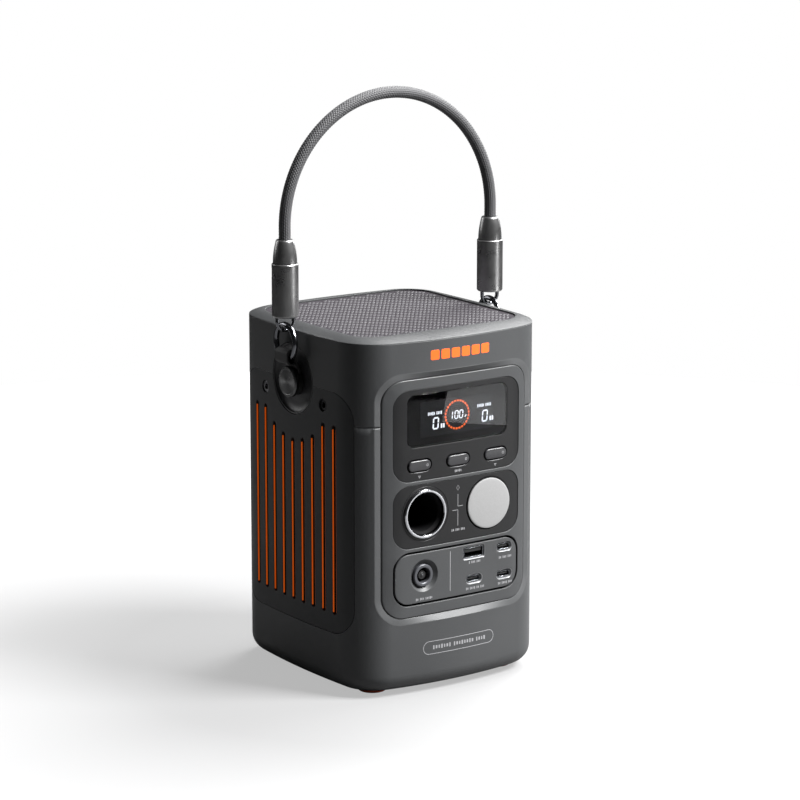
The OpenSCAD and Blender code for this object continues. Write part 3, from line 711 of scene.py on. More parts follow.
def smoked_glass():
    """Dark display window with faint smears."""
    t = Tree("display_glass")
    smear = t.noise(16.0, 4.0, 0.6)
    t.put(t.shader.inputs["Base Color"], t.mix(t.span(smear, 0.3, 0.7, 0.0, 1.0), srgb(170, 172, 176),
                                               srgb(182, 184, 188)))
    t.put(t.shader.inputs["Roughness"], t.span(smear, 0.35, 0.7, 0.0, 0.008))
    t.shader.inputs["Transmission Weight"].default_value = 1.0
    t.shader.inputs["IOR"].default_value = 1.25
    t.bump(t.noise(22.0, 1.0), 0.002)
    return t.material


look["black_metal"] = turned_metal("black_metal", "X", srgb(96), srgb(116), 0.85)
look["gunmetal"] = turned_metal("gunmetal", "Z", srgb(156), srgb(162), 0.5, 0.95)
look["display_glass"] = smoked_glass()
look["lamp_lens"] = even("lamp_lens", 0.5, 3.0, srgb(126), srgb(134), (0.5, 0.62), 0.01).material
look["digit_glow"] = glow("digit_glow", srgb(236, 240, 244), 2.6, srgb(225))
look["orange_glow"] = glow("orange_glow", srgb(255, 104, 26), 2.4, srgb(240, 88, 26))

# ---- camera, lights, floor ----
camera = bpy.data.objects.new("camera", bpy.data.cameras.new("camera"))
bpy.context.scene.collection.objects.link(camera)
camera.data.lens = 142.62
camera.data.sensor_width = 36.0
camera.location = (-0.99689, -1.45166, 0.54545)
aim = Vector((0.0006, -0.009377, 0.154069))
camera.rotation_mode = "QUATERNION"
camera.rotation_quaternion = (aim - camera.location).to_track_quat("-Z", "Y")
camera.data.clip_start, camera.data.clip_end = 0.05, 60.0
bpy.context.scene.camera = camera
bpy.context.scene.view_settings.view_transform = "Standard"


def softbox(name, place, target, size, power):
    light = bpy.data.objects.new(name, bpy.data.lights.new(name, "AREA"))
    light.data.shape = "RECTANGLE"
    light.data.size, light.data.size_y = size
    light.data.energy = power
    light.location = place
    light.rotation_mode = "QUATERNION"
    light.rotation_quaternion = (Vector(target) - Vector(place)).to_track_quat("-Z", "Y")
    bpy.context.scene.collection.objects.link(light)
    return light


case_middle = (0, 0, 0.12)
for name, place, size, power in (("key", (0.85, -1.0, 1.5), (0.7, 0.7), 150),
                                 ("top", (0.95, 0.3, 1.5), (1.0, 1.0), 55),
                                 ("edge", (1.6, 0.6, 0.7), (0.5, 1.0), 16),
                                 ("rear", (-0.95, 1.6, 0.7), (0.7, 0.9), 6)):
    softbox(name, place, case_middle, size, power)

# dim card that the display mirrors over its right half, with a slanting edge
card_at, card_to = Vector((0.441, -0.55, 0.0)), Vector((0, -0.067, 0.156))
card = softbox("card", card_at, card_to, (0.2, 0.3), 0.75)
card_z = (card_at - card_to).normalized()
card_y = Vector((0.37, 0, 0.93))
card_y = (card_y - card_z * card_y.dot(card_z)).normalized()
card.rotation_quaternion = Matrix((card_y.cross(card_z), card_y, card_z)).transposed().to_quaternion()
card.visible_camera = False

world = bpy.data.worlds.new("studio")
bpy.context.scene.world = world
world.use_nodes = True
nodes, links = world.node_tree.nodes, world.node_tree.links
nodes["Background"].inputs["Color"].default_value = (0.9, 0.92, 0.95, 1)
nodes["Background"].inputs["Strength"].default_value = 0.025
seen = nodes.new("ShaderNodeBackground")
seen.inputs["Color"].default_value = (1, 1, 1, 1)
seen.inputs["Strength"].default_value = 1.0
ray = nodes.new("ShaderNodeLightPath")
mixer = nodes.new("ShaderNodeMixShader")
links.new(ray.outputs["Is Camera Ray"], mixer.inputs[0])
links.new(nodes["Background"].outputs[0], mixer.inputs[1])
links.new(seen.outputs[0], mixer.inputs[2])
links.new(mixer.outputs[0], nodes["World Output"].inputs["Surface"])


def floor_material():
    t = Tree("floor")
    broad = t.noise(400.0, 2.0)
    t.put(t.shader.inputs["Base Color"], t.mix(t.span(broad, 0.3, 0.7, 0.0, 1.0), (0.105, 0.105, 0.106, 1),
                                               (0.112, 0.112, 0.113, 1)))
    ball = t.nodes.new("ShaderNodeTexGradient")
    ball.gradient_type = "SPHERICAL"
    shrink = t.nodes.new("ShaderNodeMapping")
    shrink.inputs["Scale"].default_value = (1.25, 1.25, 1.25)
    t.put(shrink.inputs["Vector"], t.coords)
    t.put(ball.inputs["Vector"], shrink.outputs["Vector"])
    seen_by_eye = t.nodes.new("ShaderNodeLightPath").outputs["Is Camera Ray"]
    lift = t.span(ball.outputs["Fac"], 0.3, 0.8, 1.0, 0.46)
    t.shader.inputs["Emission Color"].default_value = (1, 1, 1, 1)
    t.put(t.shader.inputs["Emission Strength"], t.math("MULTIPLY", lift, seen_by_eye))
    t.put(t.shader.inputs["Roughness"], t.span(broad, 0.3, 0.7, 0.55, 0.65))
    t.bump(t.noise(3.0, 3.0), 0.01)
    return t.material


def make_floor():
    mesh = bpy.data.meshes.new("floor")
    bm = bmesh.new()
    bmesh.ops.create_circle(bm, cap_ends=True, segments=96, radius=0.8)
    bm.to_mesh(mesh)
    bm.free()
    mesh.materials.append(floor_material())
    obj = bpy.data.objects.new("floor", mesh)
    bpy.context.scene.collection.objects.link(obj)
    obj.location.z = cad_low.z - 0.0002


make_floor()

# ---- case ----
lip_z = 0.3
shell_t = 2.4
seam_gap = 0.15
plate_bevel = Rect(0, sum(bevel_z) / 2, bevel_hw, (bevel_z[1] - bevel_z[0]) / 2, bevel_r, 2.0)
plate_window = Rect(0, sum(plate_z) / 2, plate_hw + 0.2, (plate_z[1] - plate_z[0]) / 2 + 0.2,
                    plate_corner + 0.2, counts=plate_bevel.counts)
panel_low, panel_high = mm_box("right_side_panel")
cup_z = 173.0
cup_r = 20.0
panel_half = along(panel_high[1], side_r, side_a, corner_y)
slot_pitch, slot_half = 9.8, 1.65
slot_bottom = 47.2
slot_tops = (137.7, 139.2, 143.2, 151.7, 151.7)
screw_y, screw_z = 29.4, 163.1


def outline_steps(fine=1.5, coarse=4.5):
    out = [0.0]
    for k, arc in enumerate(ARCS):
        length = ARC_ENDS[k + 1] - ARC_ENDS[k]
        n = max(1, math.ceil(length / (fine if arc[2] < 100 else coarse)))
        out += [ARC_ENDS[k] + length * i / n for i in range(1, n + 1)]
    return np.array(out)


def on_front(loop):
    """A loop in x and z turned into distances along the outline."""
    return np.array([(s_of_x(a), b) for a, b in loop])


def case_shell():
    part = Part()
    cols = outline_steps()
    low, high = base_z + bottom_r, crease_z - 0.25
    rows = np.append(np.arange(low, high - 2, 5.5), high)
    edge = np.concatenate([
        [(s, low) for s in cols], [(around, z) for z in rows[1:]],
        [(s, high) for s in cols[-2::-1]], [(0, z) for z in rows[-2:0:-1]]])
    recess = Bitten(0, panel_half, panel_low[2], panel_high[2], 16.0, cup_z, cup_r + 0.3, False)
    bevel_edge = on_front(plate_bevel.loop(0.5))
    sides = [recess.loop(0.5) + [s, 0] for s in (s_left, s_right)]
    grid = np.array([(s, z) for s in cols[1:-1] for z in rows[1:-1]])
    v, f = region(edge, [bevel_edge, *sides], grid=grid, clear=0.7)
    part.add(wall(v[:, 0], v[:, 1]), f)
    # window down to the plate: a ruled bevel between the two rims, in the lighter bevel plastic as painted
    # light
    outer, inner = plate_bevel.loop(0), plate_window.loop(0)
    start, end = case_face(*outer.T), face(*inner.T, 0.3)

    def between(t, sink=0.0):
        p = start + (end - start) * t
        p[:, 1] += sink
        return p

    rings = [wall(*bevel_edge.T), between(-0.03, 0.02),
             between(0.04, 0.04), between(0.14), between(0.5), between(0.9), between(0.97, 0.05),
             between(1.0, 0.2), between(1.0, 2.2)]
    part.strips(rings, flip=True, paint=1)
    for s in (s_left, s_right):
        rings = []
        for grow, inset in ((0.5, 0), (0.22, 0), (0.08, 0.05), (0.0, 0.2), (0.0, 1.2), (0.0, 2.2)):
            loop = recess.loop(grow) + [s, 0]
            rings.append(wall(loop[:, 0], loop[:, 1], inset))
        part.strips(rings, flip=True)
    # bottom rounding, underside, and the rounded top edge
    ring_s = cols[:-1]
    turns = [i * quarter / 8 for i in range(9)]
    rings = [wall(ring_s, base_z + bottom_r - bottom_r * math.sin(a), bottom_r * (1 - math.cos(a)))
             for a in turns]
    rings += [wall(ring_s, base_z, inset) for inset in (13, 19, 25)]
    part.strips(rings, flip=False)
    part.cap(rings[-1], flip=True)
    rings = [wall(ring_s, high + lip_z * math.sin(a), lip_z * (1 - math.cos(a))) for a in turns[::2]]
    part.strips(rings, flip=True)
    return part


def split_shell(name, node, keep_above, height):
    """The part of the case above or below a height, closed at the joint by its wall's thickness."""
    # the window bevel takes the lighter bevel plastic, painted light
    obj = piece(name, case_shell(), ["case_plastic", "bevel_plastic_painted_light"], [node], smooth=40, normals=False)
    bm = bmesh.new()
    bm.from_mesh(obj.data)
    bmesh.ops.bisect_plane(bm, geom=bm.verts[:] + bm.edges[:] + bm.faces[:], plane_co=(0, 0, height * MM),
                           plane_no=(0, 0, 1), clear_inner=keep_above, clear_outer=not keep_above,
                           dist=1e-7)
    bmesh.ops.remove_doubles(bm, verts=bm.verts, dist=2e-6)
    bm.to_mesh(obj.data)
    bm.free()
    obj.data.shade_smooth()
    obj.data.set_sharp_from_angle(angle=math.radians(40))
    modifier = obj.modifiers.new("thickness", "SOLIDIFY")
    modifier.thickness = shell_t * MM
    modifier.offset = -1
    obj.modifiers.new("normals", "WEIGHTED_NORMAL").keep_sharp = True
    return obj


split_shell("case_lower", "lower_shell", False, seam_z - seam_gap)
split_shell("case_upper", "upper_shell", True, seam_z + seam_gap)

# ---- top rim and mat ----
mat_high = mm_box("top_mat")[1]
mat_hu, mat_hv, mat_r = mat_high[0], mat_high[1], 17.0
mat_z = mat_high[2]


def mat_outline(n_grow, directions):
    """Points of the mat's outline, grown, in the given directions from the middle."""
    loop = Rect(0, 0, mat_hu, mat_hv, mat_r, 0.6).loop(n_grow)
    angles = np.arctan2(loop[:, 1], loop[:, 0])
    order = np.argsort(angles)
    radius = np.hypot(loop[:, 0], loop[:, 1])
    r = np.interp(directions, angles[order], radius[order], period=TAU)
    return np.stack([r * np.cos(directions), r * np.sin(directions)], -1)


def top_rim():
    part = Part()
    s = outline_steps(1.2, 2.5)[:-1]
    outer = plan(s, 0.05)
    directions = np.arctan2(outer[:, 1], outer[:, 0])
    inner = mat_outline(0.45, directions)
    start = crease_z + 0.12

    def ring(xy, z):
        return np.concatenate([xy, np.full((len(xy), 1), z)], 1)

    rings = [ring(plan(s, 3.0), start - 1.2), ring(plan(s, 0.6), start - 1.2), ring(plan(s, 0.6), start),
             ring(plan(s, 0.25), start), ring(outer, start + 0.12), ring(plan(s, 0.08), start + 0.26)]
    rise = crest_z - start - 0.32
    for t in (0.04, 0.1, 0.2, 0.32, 0.45, 0.58, 0.7, 0.82, 0.92, 1.0):
        rings.append(ring(outer + (inner - outer) * t, start + 0.32 + rise * (1 - (1 - t) ** 1.7)))
    for grow, z in ((0.3, -0.05), (0.22, -0.2), (0.2, -0.5), (0.2, -2.0)):
        rings.append(ring(mat_outline(grow, directions), crest_z + z))
    rings.append(ring(mat_outline(4, directions), crest_z - 2.6))
    rings.append(rings[0])
    return part.strips(rings)


piece("top_rim_band", top_rim(), "rim_plastic", ["top_rim"], smooth=40)


def stud(cu, cv, long_r, wide_r, height, base, turn):
    """Low dome with an oval foot."""
    part = Part()
    n = 12
    a = np.arange(n) * TAU / n
    c, s = math.cos(turn), math.sin(turn)
    rings = []
    for k in (1.0, 0.82, 0.5):
        u, v = long_r * k * np.cos(a), wide_r * k * np.sin(a)
        z = base + height * (1 - ((k - 0.3) / 0.7) ** 2 if k > 0.5 else 0.96)
        rings.append(np.stack([cu + u * c - v * s, cv + u * s + v * c,
                               np.full(n, z if k < 1 else base - 0.2)], -1))
    top = np.array([[cu, cv, base + height]])
    part.strips(rings)
    part.add(np.concatenate([rings[-1], top]), [[n, (i + 1) % n, i] for i in range(n)])
    return part.cap(rings[0])


def top_mat():
    part = slab(lambda u, v, d: np.stack([u, v, mat_z - 0.27 - d * np.ones_like(u)], -1),
                Rect(0, 0, mat_hu, mat_hv, mat_r, 1.5), thick=1.0, edge=lip(0.3, 1.0), step=9.0)
    inside_mat = Rect(0, 0, mat_hu - 2.6, mat_hv - 2.6, mat_r - 2.6, 1.5).loop(0)
    pitch, row = 2.17, 7.3
    diagonal = math.sqrt(0.5)
    places = []
    for j in range(-16, 17):
        for i in range(-42, 43):
            p, q = (i + 0.5 * (j % 2)) * pitch, j * row
            places.append(((p + q) * diagonal, (q - p) * diagonal))
    places = np.array(places)
    for u, v in places[inside(places, inside_mat)]:
        part.join(stud(u, v, 3.1, 1.12, 0.26, mat_z - 0.27, math.pi / 4), 1)
    return part


# the mat's base takes the darker gap colour, painted shade between the studs
piece("top_mat_studs", top_mat(), ["mat_gap_painted_shade", "mat_rubber"], ["top_mat"], smooth=50)

# ---- feet ----


def feet():
    part = Part()
    profile = fillets([(3.3, 2.4), (3.3, 0.0, 0.3), (7.9, 0.0, 0.8), (8.0, 2.62), (3.3, 2.62)])
    for x in (-43, 43):
        for y in (-45, 45):
            part.join(lathe(np.vstack([profile, profile[:1]]), upright(x, y), 48))
    return part


piece("feet_pads", feet(), "orange_rubber", ["feet"])

# ---- side panels, vents, lugs' cups ----


def slot_places(s):
    for k in range(-4, 5):
        yield s + k * slot_pitch, slot_bottom, slot_tops[abs(k)]


def side_panel(side):
    s = s_right if side > 0 else s_left
    outer = Bitten(s, panel_half - 0.15, panel_low[2] + 0.15, panel_high[2] - 0.15, 16.0, cup_z,
                   cup_r + 0.25, True)
    holes = [Rect(u, (a + b) / 2, slot_half, (b - a) / 2 + slot_half, slot_half, 4.0) for u, a,
             b in slot_places(s)]
    holes += [circle(s_of_y(y, side), screw_z, 3.6, 0.6) for y in (-screw_y, screw_y)]
    thick = 2.2
    edges = [lip(0.28, thick)] * 9 + [lip(0.25, thick)] * 2
    return slab(lambda u, v, d: wall(u, v, d + 0.04), outer, holes, thick, lip(0.32, thick), edges, step=3.6,
                clear=1.0)


def vent_strips(side):
    """Orange lining on both walls of each slot, short of its depth and of its top; its plastic glows, painted
    light in the shaded slots.
    """
    s = s_right if side > 0 else s_left
    part = Part()
    near, deep, thick = 0.3, 1.1, 0.32
    for u, a, b in slot_places(s):
        for hand in (-1, 1):
            outer_u, inner_u = u + hand * (slot_half + 0.02), u + hand * (slot_half - thick)
            zs = np.linspace(a - 0.5, b - 0.9, 12)
            rings = []
            for z in zs:
                corners = [(outer_u, near), (inner_u + hand * 0.1, near), (inner_u, near + 0.1),
                           (inner_u, deep - 0.1), (inner_u + hand * 0.1, deep), (outer_u, deep)]
                rings.append(np.array([wall(np.array([c]), z, d)[0] for c, d in corners]))
            part.strips(rings).cap(rings[0]).cap(rings[-1])
    return part


def vent_screen(side):
    s = s_right if side > 0 else s_left
    outer = Bitten(s, 46.0, 42.5, 156.5, 6.0, cup_z, cup_r + 1.5, True)
    return slab(lambda u, v, d: wall(u, v, d + 2.3), outer, (), 0.6, lip(0.1, 0.6), step=6.0)


def lug_cup(side):
    lip_x, floor_x, back_x = 65.42, 62.75, 60.6
    profile = [(0, floor_x), (10.0, floor_x)]
    for i in range(11):
        a = quarter * i / 10
        profile.append((13.4 + 5.9 * math.sin(a), floor_x + 2.55 * (1 - math.cos(a))))
    profile += [(19.5, lip_x - 0.04), (19.72, lip_x), (19.9, lip_x - 0.06), (cup_r, lip_x - 0.22),
                (cup_r, back_x), (0, back_x)]
    return lathe(profile, facing_side(side, cup_z), 96)


def hex_socket_screw(centre_y, centre_z, side, head_x, r=3.4):
    """Low countersunk head with a hexagonal socket, facing sideways."""
    part, n = Part(), 48
    a = np.arange(n) * TAU / n
    wide = 1.55 / np.cos((a + math.pi / 6) % (math.pi / 3) - math.pi / 6)

    def ring(radius, x):
        return np.stack([np.full(n, side * x), centre_y + radius * np.cos(a), centre_z + radius * np.sin(a)],
                        -1)

    steps = [(r * 0.7, -2.2), (r * 0.95, -0.6), (r, -0.35), (r - 0.12, -0.12), (r - 0.5, 0.0)]
    rings = [ring(radius * np.ones(n), head_x + x) for radius, x in steps]
    rings += [ring(wide + 0.18, head_x), ring(wide, head_x - 0.14), ring(wide * 0.98, head_x - 1.3)]
    return part.strips(rings).cap(rings[0]).cap(rings[-1])


def lug_button(side):
    face_x, lug_r = mm_box("right_lug_button")[1][:2]
    post_r, post_x, head_x = 3.9, 62.0, 66.45
    profile = fillets([(0, post_x), (post_r, post_x), (post_r, head_x), (lug_r - 0.5, head_x, 0.3),
                       (lug_r, 67.0, 0.4), (lug_r, face_x - 0.75, 0.3), (lug_r - 0.75, face_x, 0.3),
                       (lug_r - 1.5, face_x, 0.1), (lug_r - 1.75, face_x - 0.14, 0.1),
                       (0.9, face_x - 0.14, 0.1), (0.5, face_x - 0.3), (0, face_x - 0.3)])
    return lathe(profile, facing_side(side, lug_z), 96)


lug_z = mm_box("right_lug_button")[1][2] - mm_box("right_lug_button")[1][1]
for side, word in ((-1, "left"), (1, "right")):
    piece(f"{word}_vent_panel", side_panel(side), "side_plastic", [f"{word}_side_panel"], smooth=40)
    piece(f"{word}_vent_strips", vent_strips(side), "orange_plastic", [f"{word}_vent_liner"])
    piece(f"{word}_vent_screen", vent_screen(side), "screen_mesh", ["dust_screens"])
    piece(f"{word}_lug_cup", lug_cup(side), "cup_plastic", ["lug_cups"])
    piece(f"{word}_lug_head", lug_button(side), "black_metal", [f"{word}_lug_button"])
    # the front screws take the darker copy of the steel, painted shade
    for y, end, metal in ((-screw_y, "front", "black_screw"), (screw_y, "rear", "screw_steel")):
        screw = hex_socket_screw(y, screw_z, side, half_w - y * y / 2 / side_r - 0.75)
        piece(f"{word}_panel_screw_{end}", screw, metal, ["side_screws"])

# ---- front panel ----
glass_low, glass_high = mm_box("display_glass")
inset_low, inset_high = mm_box("display_inset")
socket_low, socket_high = mm_box("socket_inset")
port_low, port_high = mm_box("port_panel")
ring_low, ring_high = mm_box("socket_ring")
lens_low, lens_high = mm_box("lamp_lens")
inset_hw, inset_r = inset_high[0], 10.0
socket_x, socket_z = (ring_low[0] + ring_high[0]) / 2, (ring_low[2] + ring_high[2]) / 2
lamp_x = (lens_low[0] + lens_high[0]) / 2
lens_r = (lens_high[0] - lens_low[0]) / 2
jack_low, jack_high = mm_box("dc_jack_ring")
jack_x, jack_z = (jack_low[0] + jack_high[0]) / 2, (jack_low[2] + jack_high[2]) / 2
usb_a_low, usb_a_high = mm_box("usb_a_shell")
usb_a_x, usb_a_z = (usb_a_low[0] + usb_a_high[0]) / 2, (usb_a_low[2] + usb_a_high[2]) / 2
usb_c_places = ((32.6, 76.0), (11.4, 60.7), (32.6, 60.0))
button_xs = {word: (mm_box(f"button_{word}")[0][0] + mm_box(f"button_{word}")[1][0]) / 2
             for word in ("left", "power", "right")}
button_low, button_high = mm_box("button_power")
button_z = (button_low[2] + button_high[2]) / 2


def panel_rect(low, high, shrink, r, step=2.0):
    return Rect(0, (low[2] + high[2]) / 2, high[0] - shrink, (high[2] - low[2]) / 2 - shrink, r - shrink,
                step)


def shrunk(rect, gap, r):
    """The same rectangle with a gap left all round it."""
    return Rect(0, rect.v, rect.hu - gap, rect.hv - gap, r)


def sunk(depth):
    """Placement on a sheet at a depth below the plate's face."""
    return lambda u, v, d: face(u, v, d + depth)


display_rect = panel_rect(inset_low, inset_high, 0, inset_r)
socket_rect = panel_rect(socket_low, socket_high, 0, inset_r)
groove = 1.2
port_window = Rect(0, (port_low[2] + port_high[2]) / 2, inset_hw, (port_high[2] - port_low[2]) / 2 + groove,
                   inset_r)
plate_rect = Rect(0, sum(plate_z) / 2, plate_hw, (plate_z[1] - plate_z[0]) / 2, plate_corner)
windows = [display_rect, socket_rect, port_window]
plate = slab(sunk(0), plate_rect, windows, 2.4, lip(0.7, 2.4), [lip(0.3, 2.4)] * 3, 4.0)
piece("front_plate_face", plate, "case_plastic", ["front_plate"], smooth=40)


button_trim = 0.75  # the visible cap is slimmer than its node
fit_gap = 0.12


def button_rect(x, grow=0.0):
    hu = (button_high[0] - button_low[0]) / 2 + grow
    hv = (button_high[2] - button_low[2]) / 2 - button_trim + grow
    return Rect(x, button_z, hu, hv, hv - 0.05, 1.2)


glass_rect = Rect(0, (glass_low[2] + glass_high[2]) / 2, glass_high[0] + fit_gap,
                  (glass_high[2] - glass_low[2]) / 2 + fit_gap, 5.1)
display_holes = [glass_rect] + [button_rect(x, 0.7) for x in button_xs.values()]
display_face = slab(sunk(0.3), shrunk(display_rect, fit_gap, inset_r - fit_gap), display_holes, 3.0,
                    lip(0.22, 3.0), [lip(0.15, 3.0)] + [lip(0.35, 3.0)] * 3, 3.0)
piece("display_surround", display_face, "dark_plastic", ["display_inset"], smooth=40)
window = slab(sunk(0.18), shrunk(glass_rect, 0.2, 4.9), thick=1.0, edge=lip(0.16, 1.0), step=3.0)
piece("display_window", window, "display_glass", ["display_glass"], smooth=40)
lcd_hu, lcd_z = 24.46, (146.05, 166.1)
lcd_back = slab(sunk(1.9), Rect(0, glass_rect.v, 33.2, 14.2, 5.0), thick=0.5, edge=lip(0.1, 0.5), step=4.0)
piece("display_mask", lcd_back, "mask_black", ["lcd_module"])
lcd_rect = Rect(0, sum(lcd_z) / 2, lcd_hu, (lcd_z[1] - lcd_z[0]) / 2, 0.6)
lcd = slab(sunk(1.62), lcd_rect, thick=0.26, edge=lip(0.08, 0.26), step=4.0)
piece("lcd_panel", lcd, "lcd_face")

SEGMENTS = {"0": "abcdef", "1": "bc"}


def digit(part, place, text, x, z, w, h, stroke, slant=0.08):
    """Seven-segment digit made of thin raised bars."""
    ends = {"a": ((0, 1), (1, 1)), "b": ((1, 1), (1, 0.5)), "c": ((1, 0.5), (1, 0)), "d": ((0, 0), (1, 0)),
            "e": ((0, 0), (0, 0.5)), "f": ((0, 0.5), (0, 1))}
    for name in SEGMENTS[text]:
        (x0, z0), (x1, z1) = ends[name]
        cut = stroke * 0.35
        a = np.array([x + x0 * w + slant * z0 * h, z + z0 * h])
        b = np.array([x + x1 * w + slant * z1 * h, z + z1 * h])
        d = (b - a) / np.linalg.norm(b - a)
        part.join(ribbon(place, [a + d * cut, b - d * cut], stroke, lift=0.02, deep=0.08))


def label(part, place, x, z, words, height=1.5, pitch=0.98):
    """Row of small upright blocks standing in for a printed label; words gives how many in each group."""
    space = 0.75 * pitch
    left = x - (pitch * sum(words) + space * (len(words) - 1)) / 2
    for count in words:
        for k in range(count):
            middle = left + (k + 0.5) * pitch
            wide = pitch * (0.63 if k % 2 else 0.5)
            part.join(ribbon(place, [(middle - wide / 2, z), (middle + wide / 2, z)],
                             height * (0.8 if k % 3 else 1)))
        left += count * pitch + space
    return part


lcd_depth = sunk(1.55)
digits = Part()
for k, text in enumerate("100"):
    digit(digits, lcd_depth, text, -4.9 + 3.2 * k - (0.6 if k == 0 else 0), 154.2, 2.1, 4.3, 0.62)
digits.join(ribbon(lcd_depth, [(5.2, 154.4), (6.2, 155.6)], 0.6))
for x, top in ((-16.2, 158.9), (17.2, 159.4)):
    digit(digits, lcd_depth, "0", x, 150.2, 3.2, 6.0, 0.8)
    for left in (x + 5.15, x + 6.65):
        digits.join(ribbon(lcd_depth, straight((left, 151.4), (left + 1.0, 151.4)), 2.4))
    label(digits, lcd_depth, x + 1.2, top, (5, 4), 1.9)
piece("lcd_digits", digits, "digit_glow", normals=False)


def dashed_ring(n=26, r=7.9, centre_z=156.4):
    part = Part()
    for k in range(n):
        a = np.linspace(TAU * k / n, TAU * (k + 0.62) / n, 4)
        part.join(ribbon(lcd_depth, np.stack([r * np.cos(a), centre_z + r * np.sin(a)], -1), 1.0))
    return part


piece("lcd_charge_ring", dashed_ring(), "orange_glow", normals=False)

# ---- buttons ----
crown_rise = 0.22
for word, x in button_xs.items():
    node = f"button_{word}"
    low, high = mm_box(node)
    front_depth = low[1] - plate_y
    body = "power_button" if word == "power" else f"{word}_button"

    def cap_place(u, v, d, depth=front_depth):
        crown = crown_rise * np.clip(1 - ((v - button_z) / 3.0) ** 2, 0, 1)
        return np.stack([u, plate_y + depth + d + crown_rise - crown + 0 * u, v], -1)

    cap_rect = Rect(x, button_z, (high[0] - low[0]) / 2, (high[2] - low[2]) / 2 - button_trim, 2.9, 0.8)
    cap = slab(cap_place, cap_rect, thick=3.9, edge=lip(0.55, 3.9), step=0.9)
    piece(f"{node}_cap", cap, "button_plastic", [node], body=body, smooth=50)
    dot = [(x + 4.9 + 0.62 * math.cos(a), button_z + 0.62 * math.sin(a))
           for a in np.linspace(0, TAU, 17)[:-1]]
    mark = ribbon(cap_place, dot, 0.26, lift=0.02, closed=True)
    piece(f"{node}_mark", mark, "pale_ink", body=body, normals=False)

# ---- 12 V socket and lamp ----
groove_r, groove_half, groove_deep = 15.4, 0.2, 0.22


def socket_dent(v):
    """Depth of the fine groove round the socket."""
    r = np.hypot(v[:, 0] - socket_x, v[:, 1] - socket_z)
    return groove_deep * np.clip(1 - np.abs(r - groove_r) / groove_half, 0, 1)


socket_face = shrunk(socket_rect, fit_gap, inset_r - fit_gap)
socket_holes = [circle(socket_x, socket_z, 14.05, 0.9), circle(lamp_x, socket_z, 15.2, 0.9)]
socket_lines = [circle(socket_x, socket_z, groove_r + k * groove_half, 0.9).loop() for k in (-1, 0, 1)]
socket_edges = [lip(0.12, 2.6), lip(0.3, 2.6)]
socket_plate = slab(sunk(0.3), socket_face, socket_holes, 2.6, lip(0.22, 2.6), socket_edges, 3.0,
                    dent=socket_dent, lines=socket_lines)
piece("socket_surround", socket_plate, "dark_plastic", ["socket_inset"], smooth=40)
ring_face = ring_low[1]
bore_r, chrome_r = 12.15, 13.95
socket_place = facing_front(socket_x, socket_z)
ring_profile = fillets([(bore_r, ring_face + 5.0), (bore_r, ring_face + 0.5, 0.25), (12.6, ring_face, 0.35),
                        (13.45, ring_face, 0.35), (chrome_r, ring_face + 0.5, 0.25),
                        (chrome_r, ring_face + 5.4), (bore_r, ring_face + 5.4), (bore_r, ring_face + 5.0)], 6)
piece("socket_chrome_ring", lathe(ring_profile, socket_place, 128), "bright_chrome", ["socket_ring"],
      smooth=40)
end_y = mm_box("socket_barrel")[1][1]
barrel_r, mouth_y, floor_y = 12.0, ring_face + 1.6, end_y - 2.0
barrel_profile = fillets([(barrel_r, mouth_y), (barrel_r, ring_face + 2.4, 0.2), (10.6, ring_face + 4.0, 0.6),
                          (10.5, plate_y + 41.0), (9.0, plate_y + 41.2, 0.2), (9.0, floor_y, 0.4),
                          (3.1, floor_y), (3.1, end_y), (barrel_r, end_y), (barrel_r, mouth_y)])
piece("socket_tube", lathe(barrel_profile, socket_place, 96), "well_black", ["socket_barrel"],
      smooth=40)
contact_low, contact_high = mm_box("socket_contact")
tip_y, foot_y = contact_low[1], contact_high[1]
contact = fillets([(0, tip_y), (1.2, tip_y + 0.15, 0.6), (1.8, tip_y + 0.9, 0.3), (2.4, tip_y + 2.9, 0.2),
                   (3.0, tip_y + 2.9, 0.1), (3.0, foot_y), (0, foot_y)])
piece("socket_centre_contact", lathe(contact, socket_place, 48), "contact_brass", ["socket_contact"])

lamp_place = facing_front(lamp_x, socket_z)
lens_face, lens_back = lens_low[1], lens_high[1] - 0.02
crown = [(lens_r * 0.94 * i / 10, lens_face + 0.35 * (i / 10) ** 2) for i in range(1, 11)]
lens_profile = [(0, lens_face)] + crown
lens_profile += [(lens_r - 0.4, lens_face + 0.45), (lens_r - 0.1, lens_face + 0.6),
                 (lens_r, lens_face + 0.95),
                 (lens_r, lens_back), (0, lens_back)]
piece("lamp_diffuser", lathe(lens_profile, lamp_place, 128), "lamp_lens", ["lamp_lens"], smooth=40)
bezel_r, bezel_back = 14.5, plate_y + 3.4
bezel = fillets([(bezel_r, bezel_back), (bezel_r, plate_y + 0.25, 0.1), (14.75, plate_y + 0.1, 0.1),
                 (15.0, plate_y + 0.3, 0.1), (15.1, bezel_back), (bezel_r, bezel_back)])
piece("lamp_bezel", lathe(bezel, lamp_place, 128), "well_black", ["lamp_reflector"],
      smooth=40)

# ---- DC input and USB ports ----
port_rect = panel_rect(port_low, port_high, 0, inset_r - groove)
dish = [(2.95, 0.0), (2.75, 0.03), (2.6, 0.12), (2.2, 0.55), (1.4, 1.35), (0.6, 1.95), (0.12, 2.2),
        (0.0, 2.32), (0.0, 2.8)]
usb_a_rect = Rect(usb_a_x, usb_a_z, 7.1, 3.3, 0.7, 1.0)
usb_c_rects = [Rect(x, z, 5.2, 2.3, 2.2, 0.8) for x, z in usb_c_places]
mouth = [(0.5, 0.0), (0.42, 0.04), (0.0, 0.6), (0.0, 2.8)]
port_holes = [circle(jack_x, jack_z, 6.5, 0.6), usb_a_rect, *usb_c_rects]
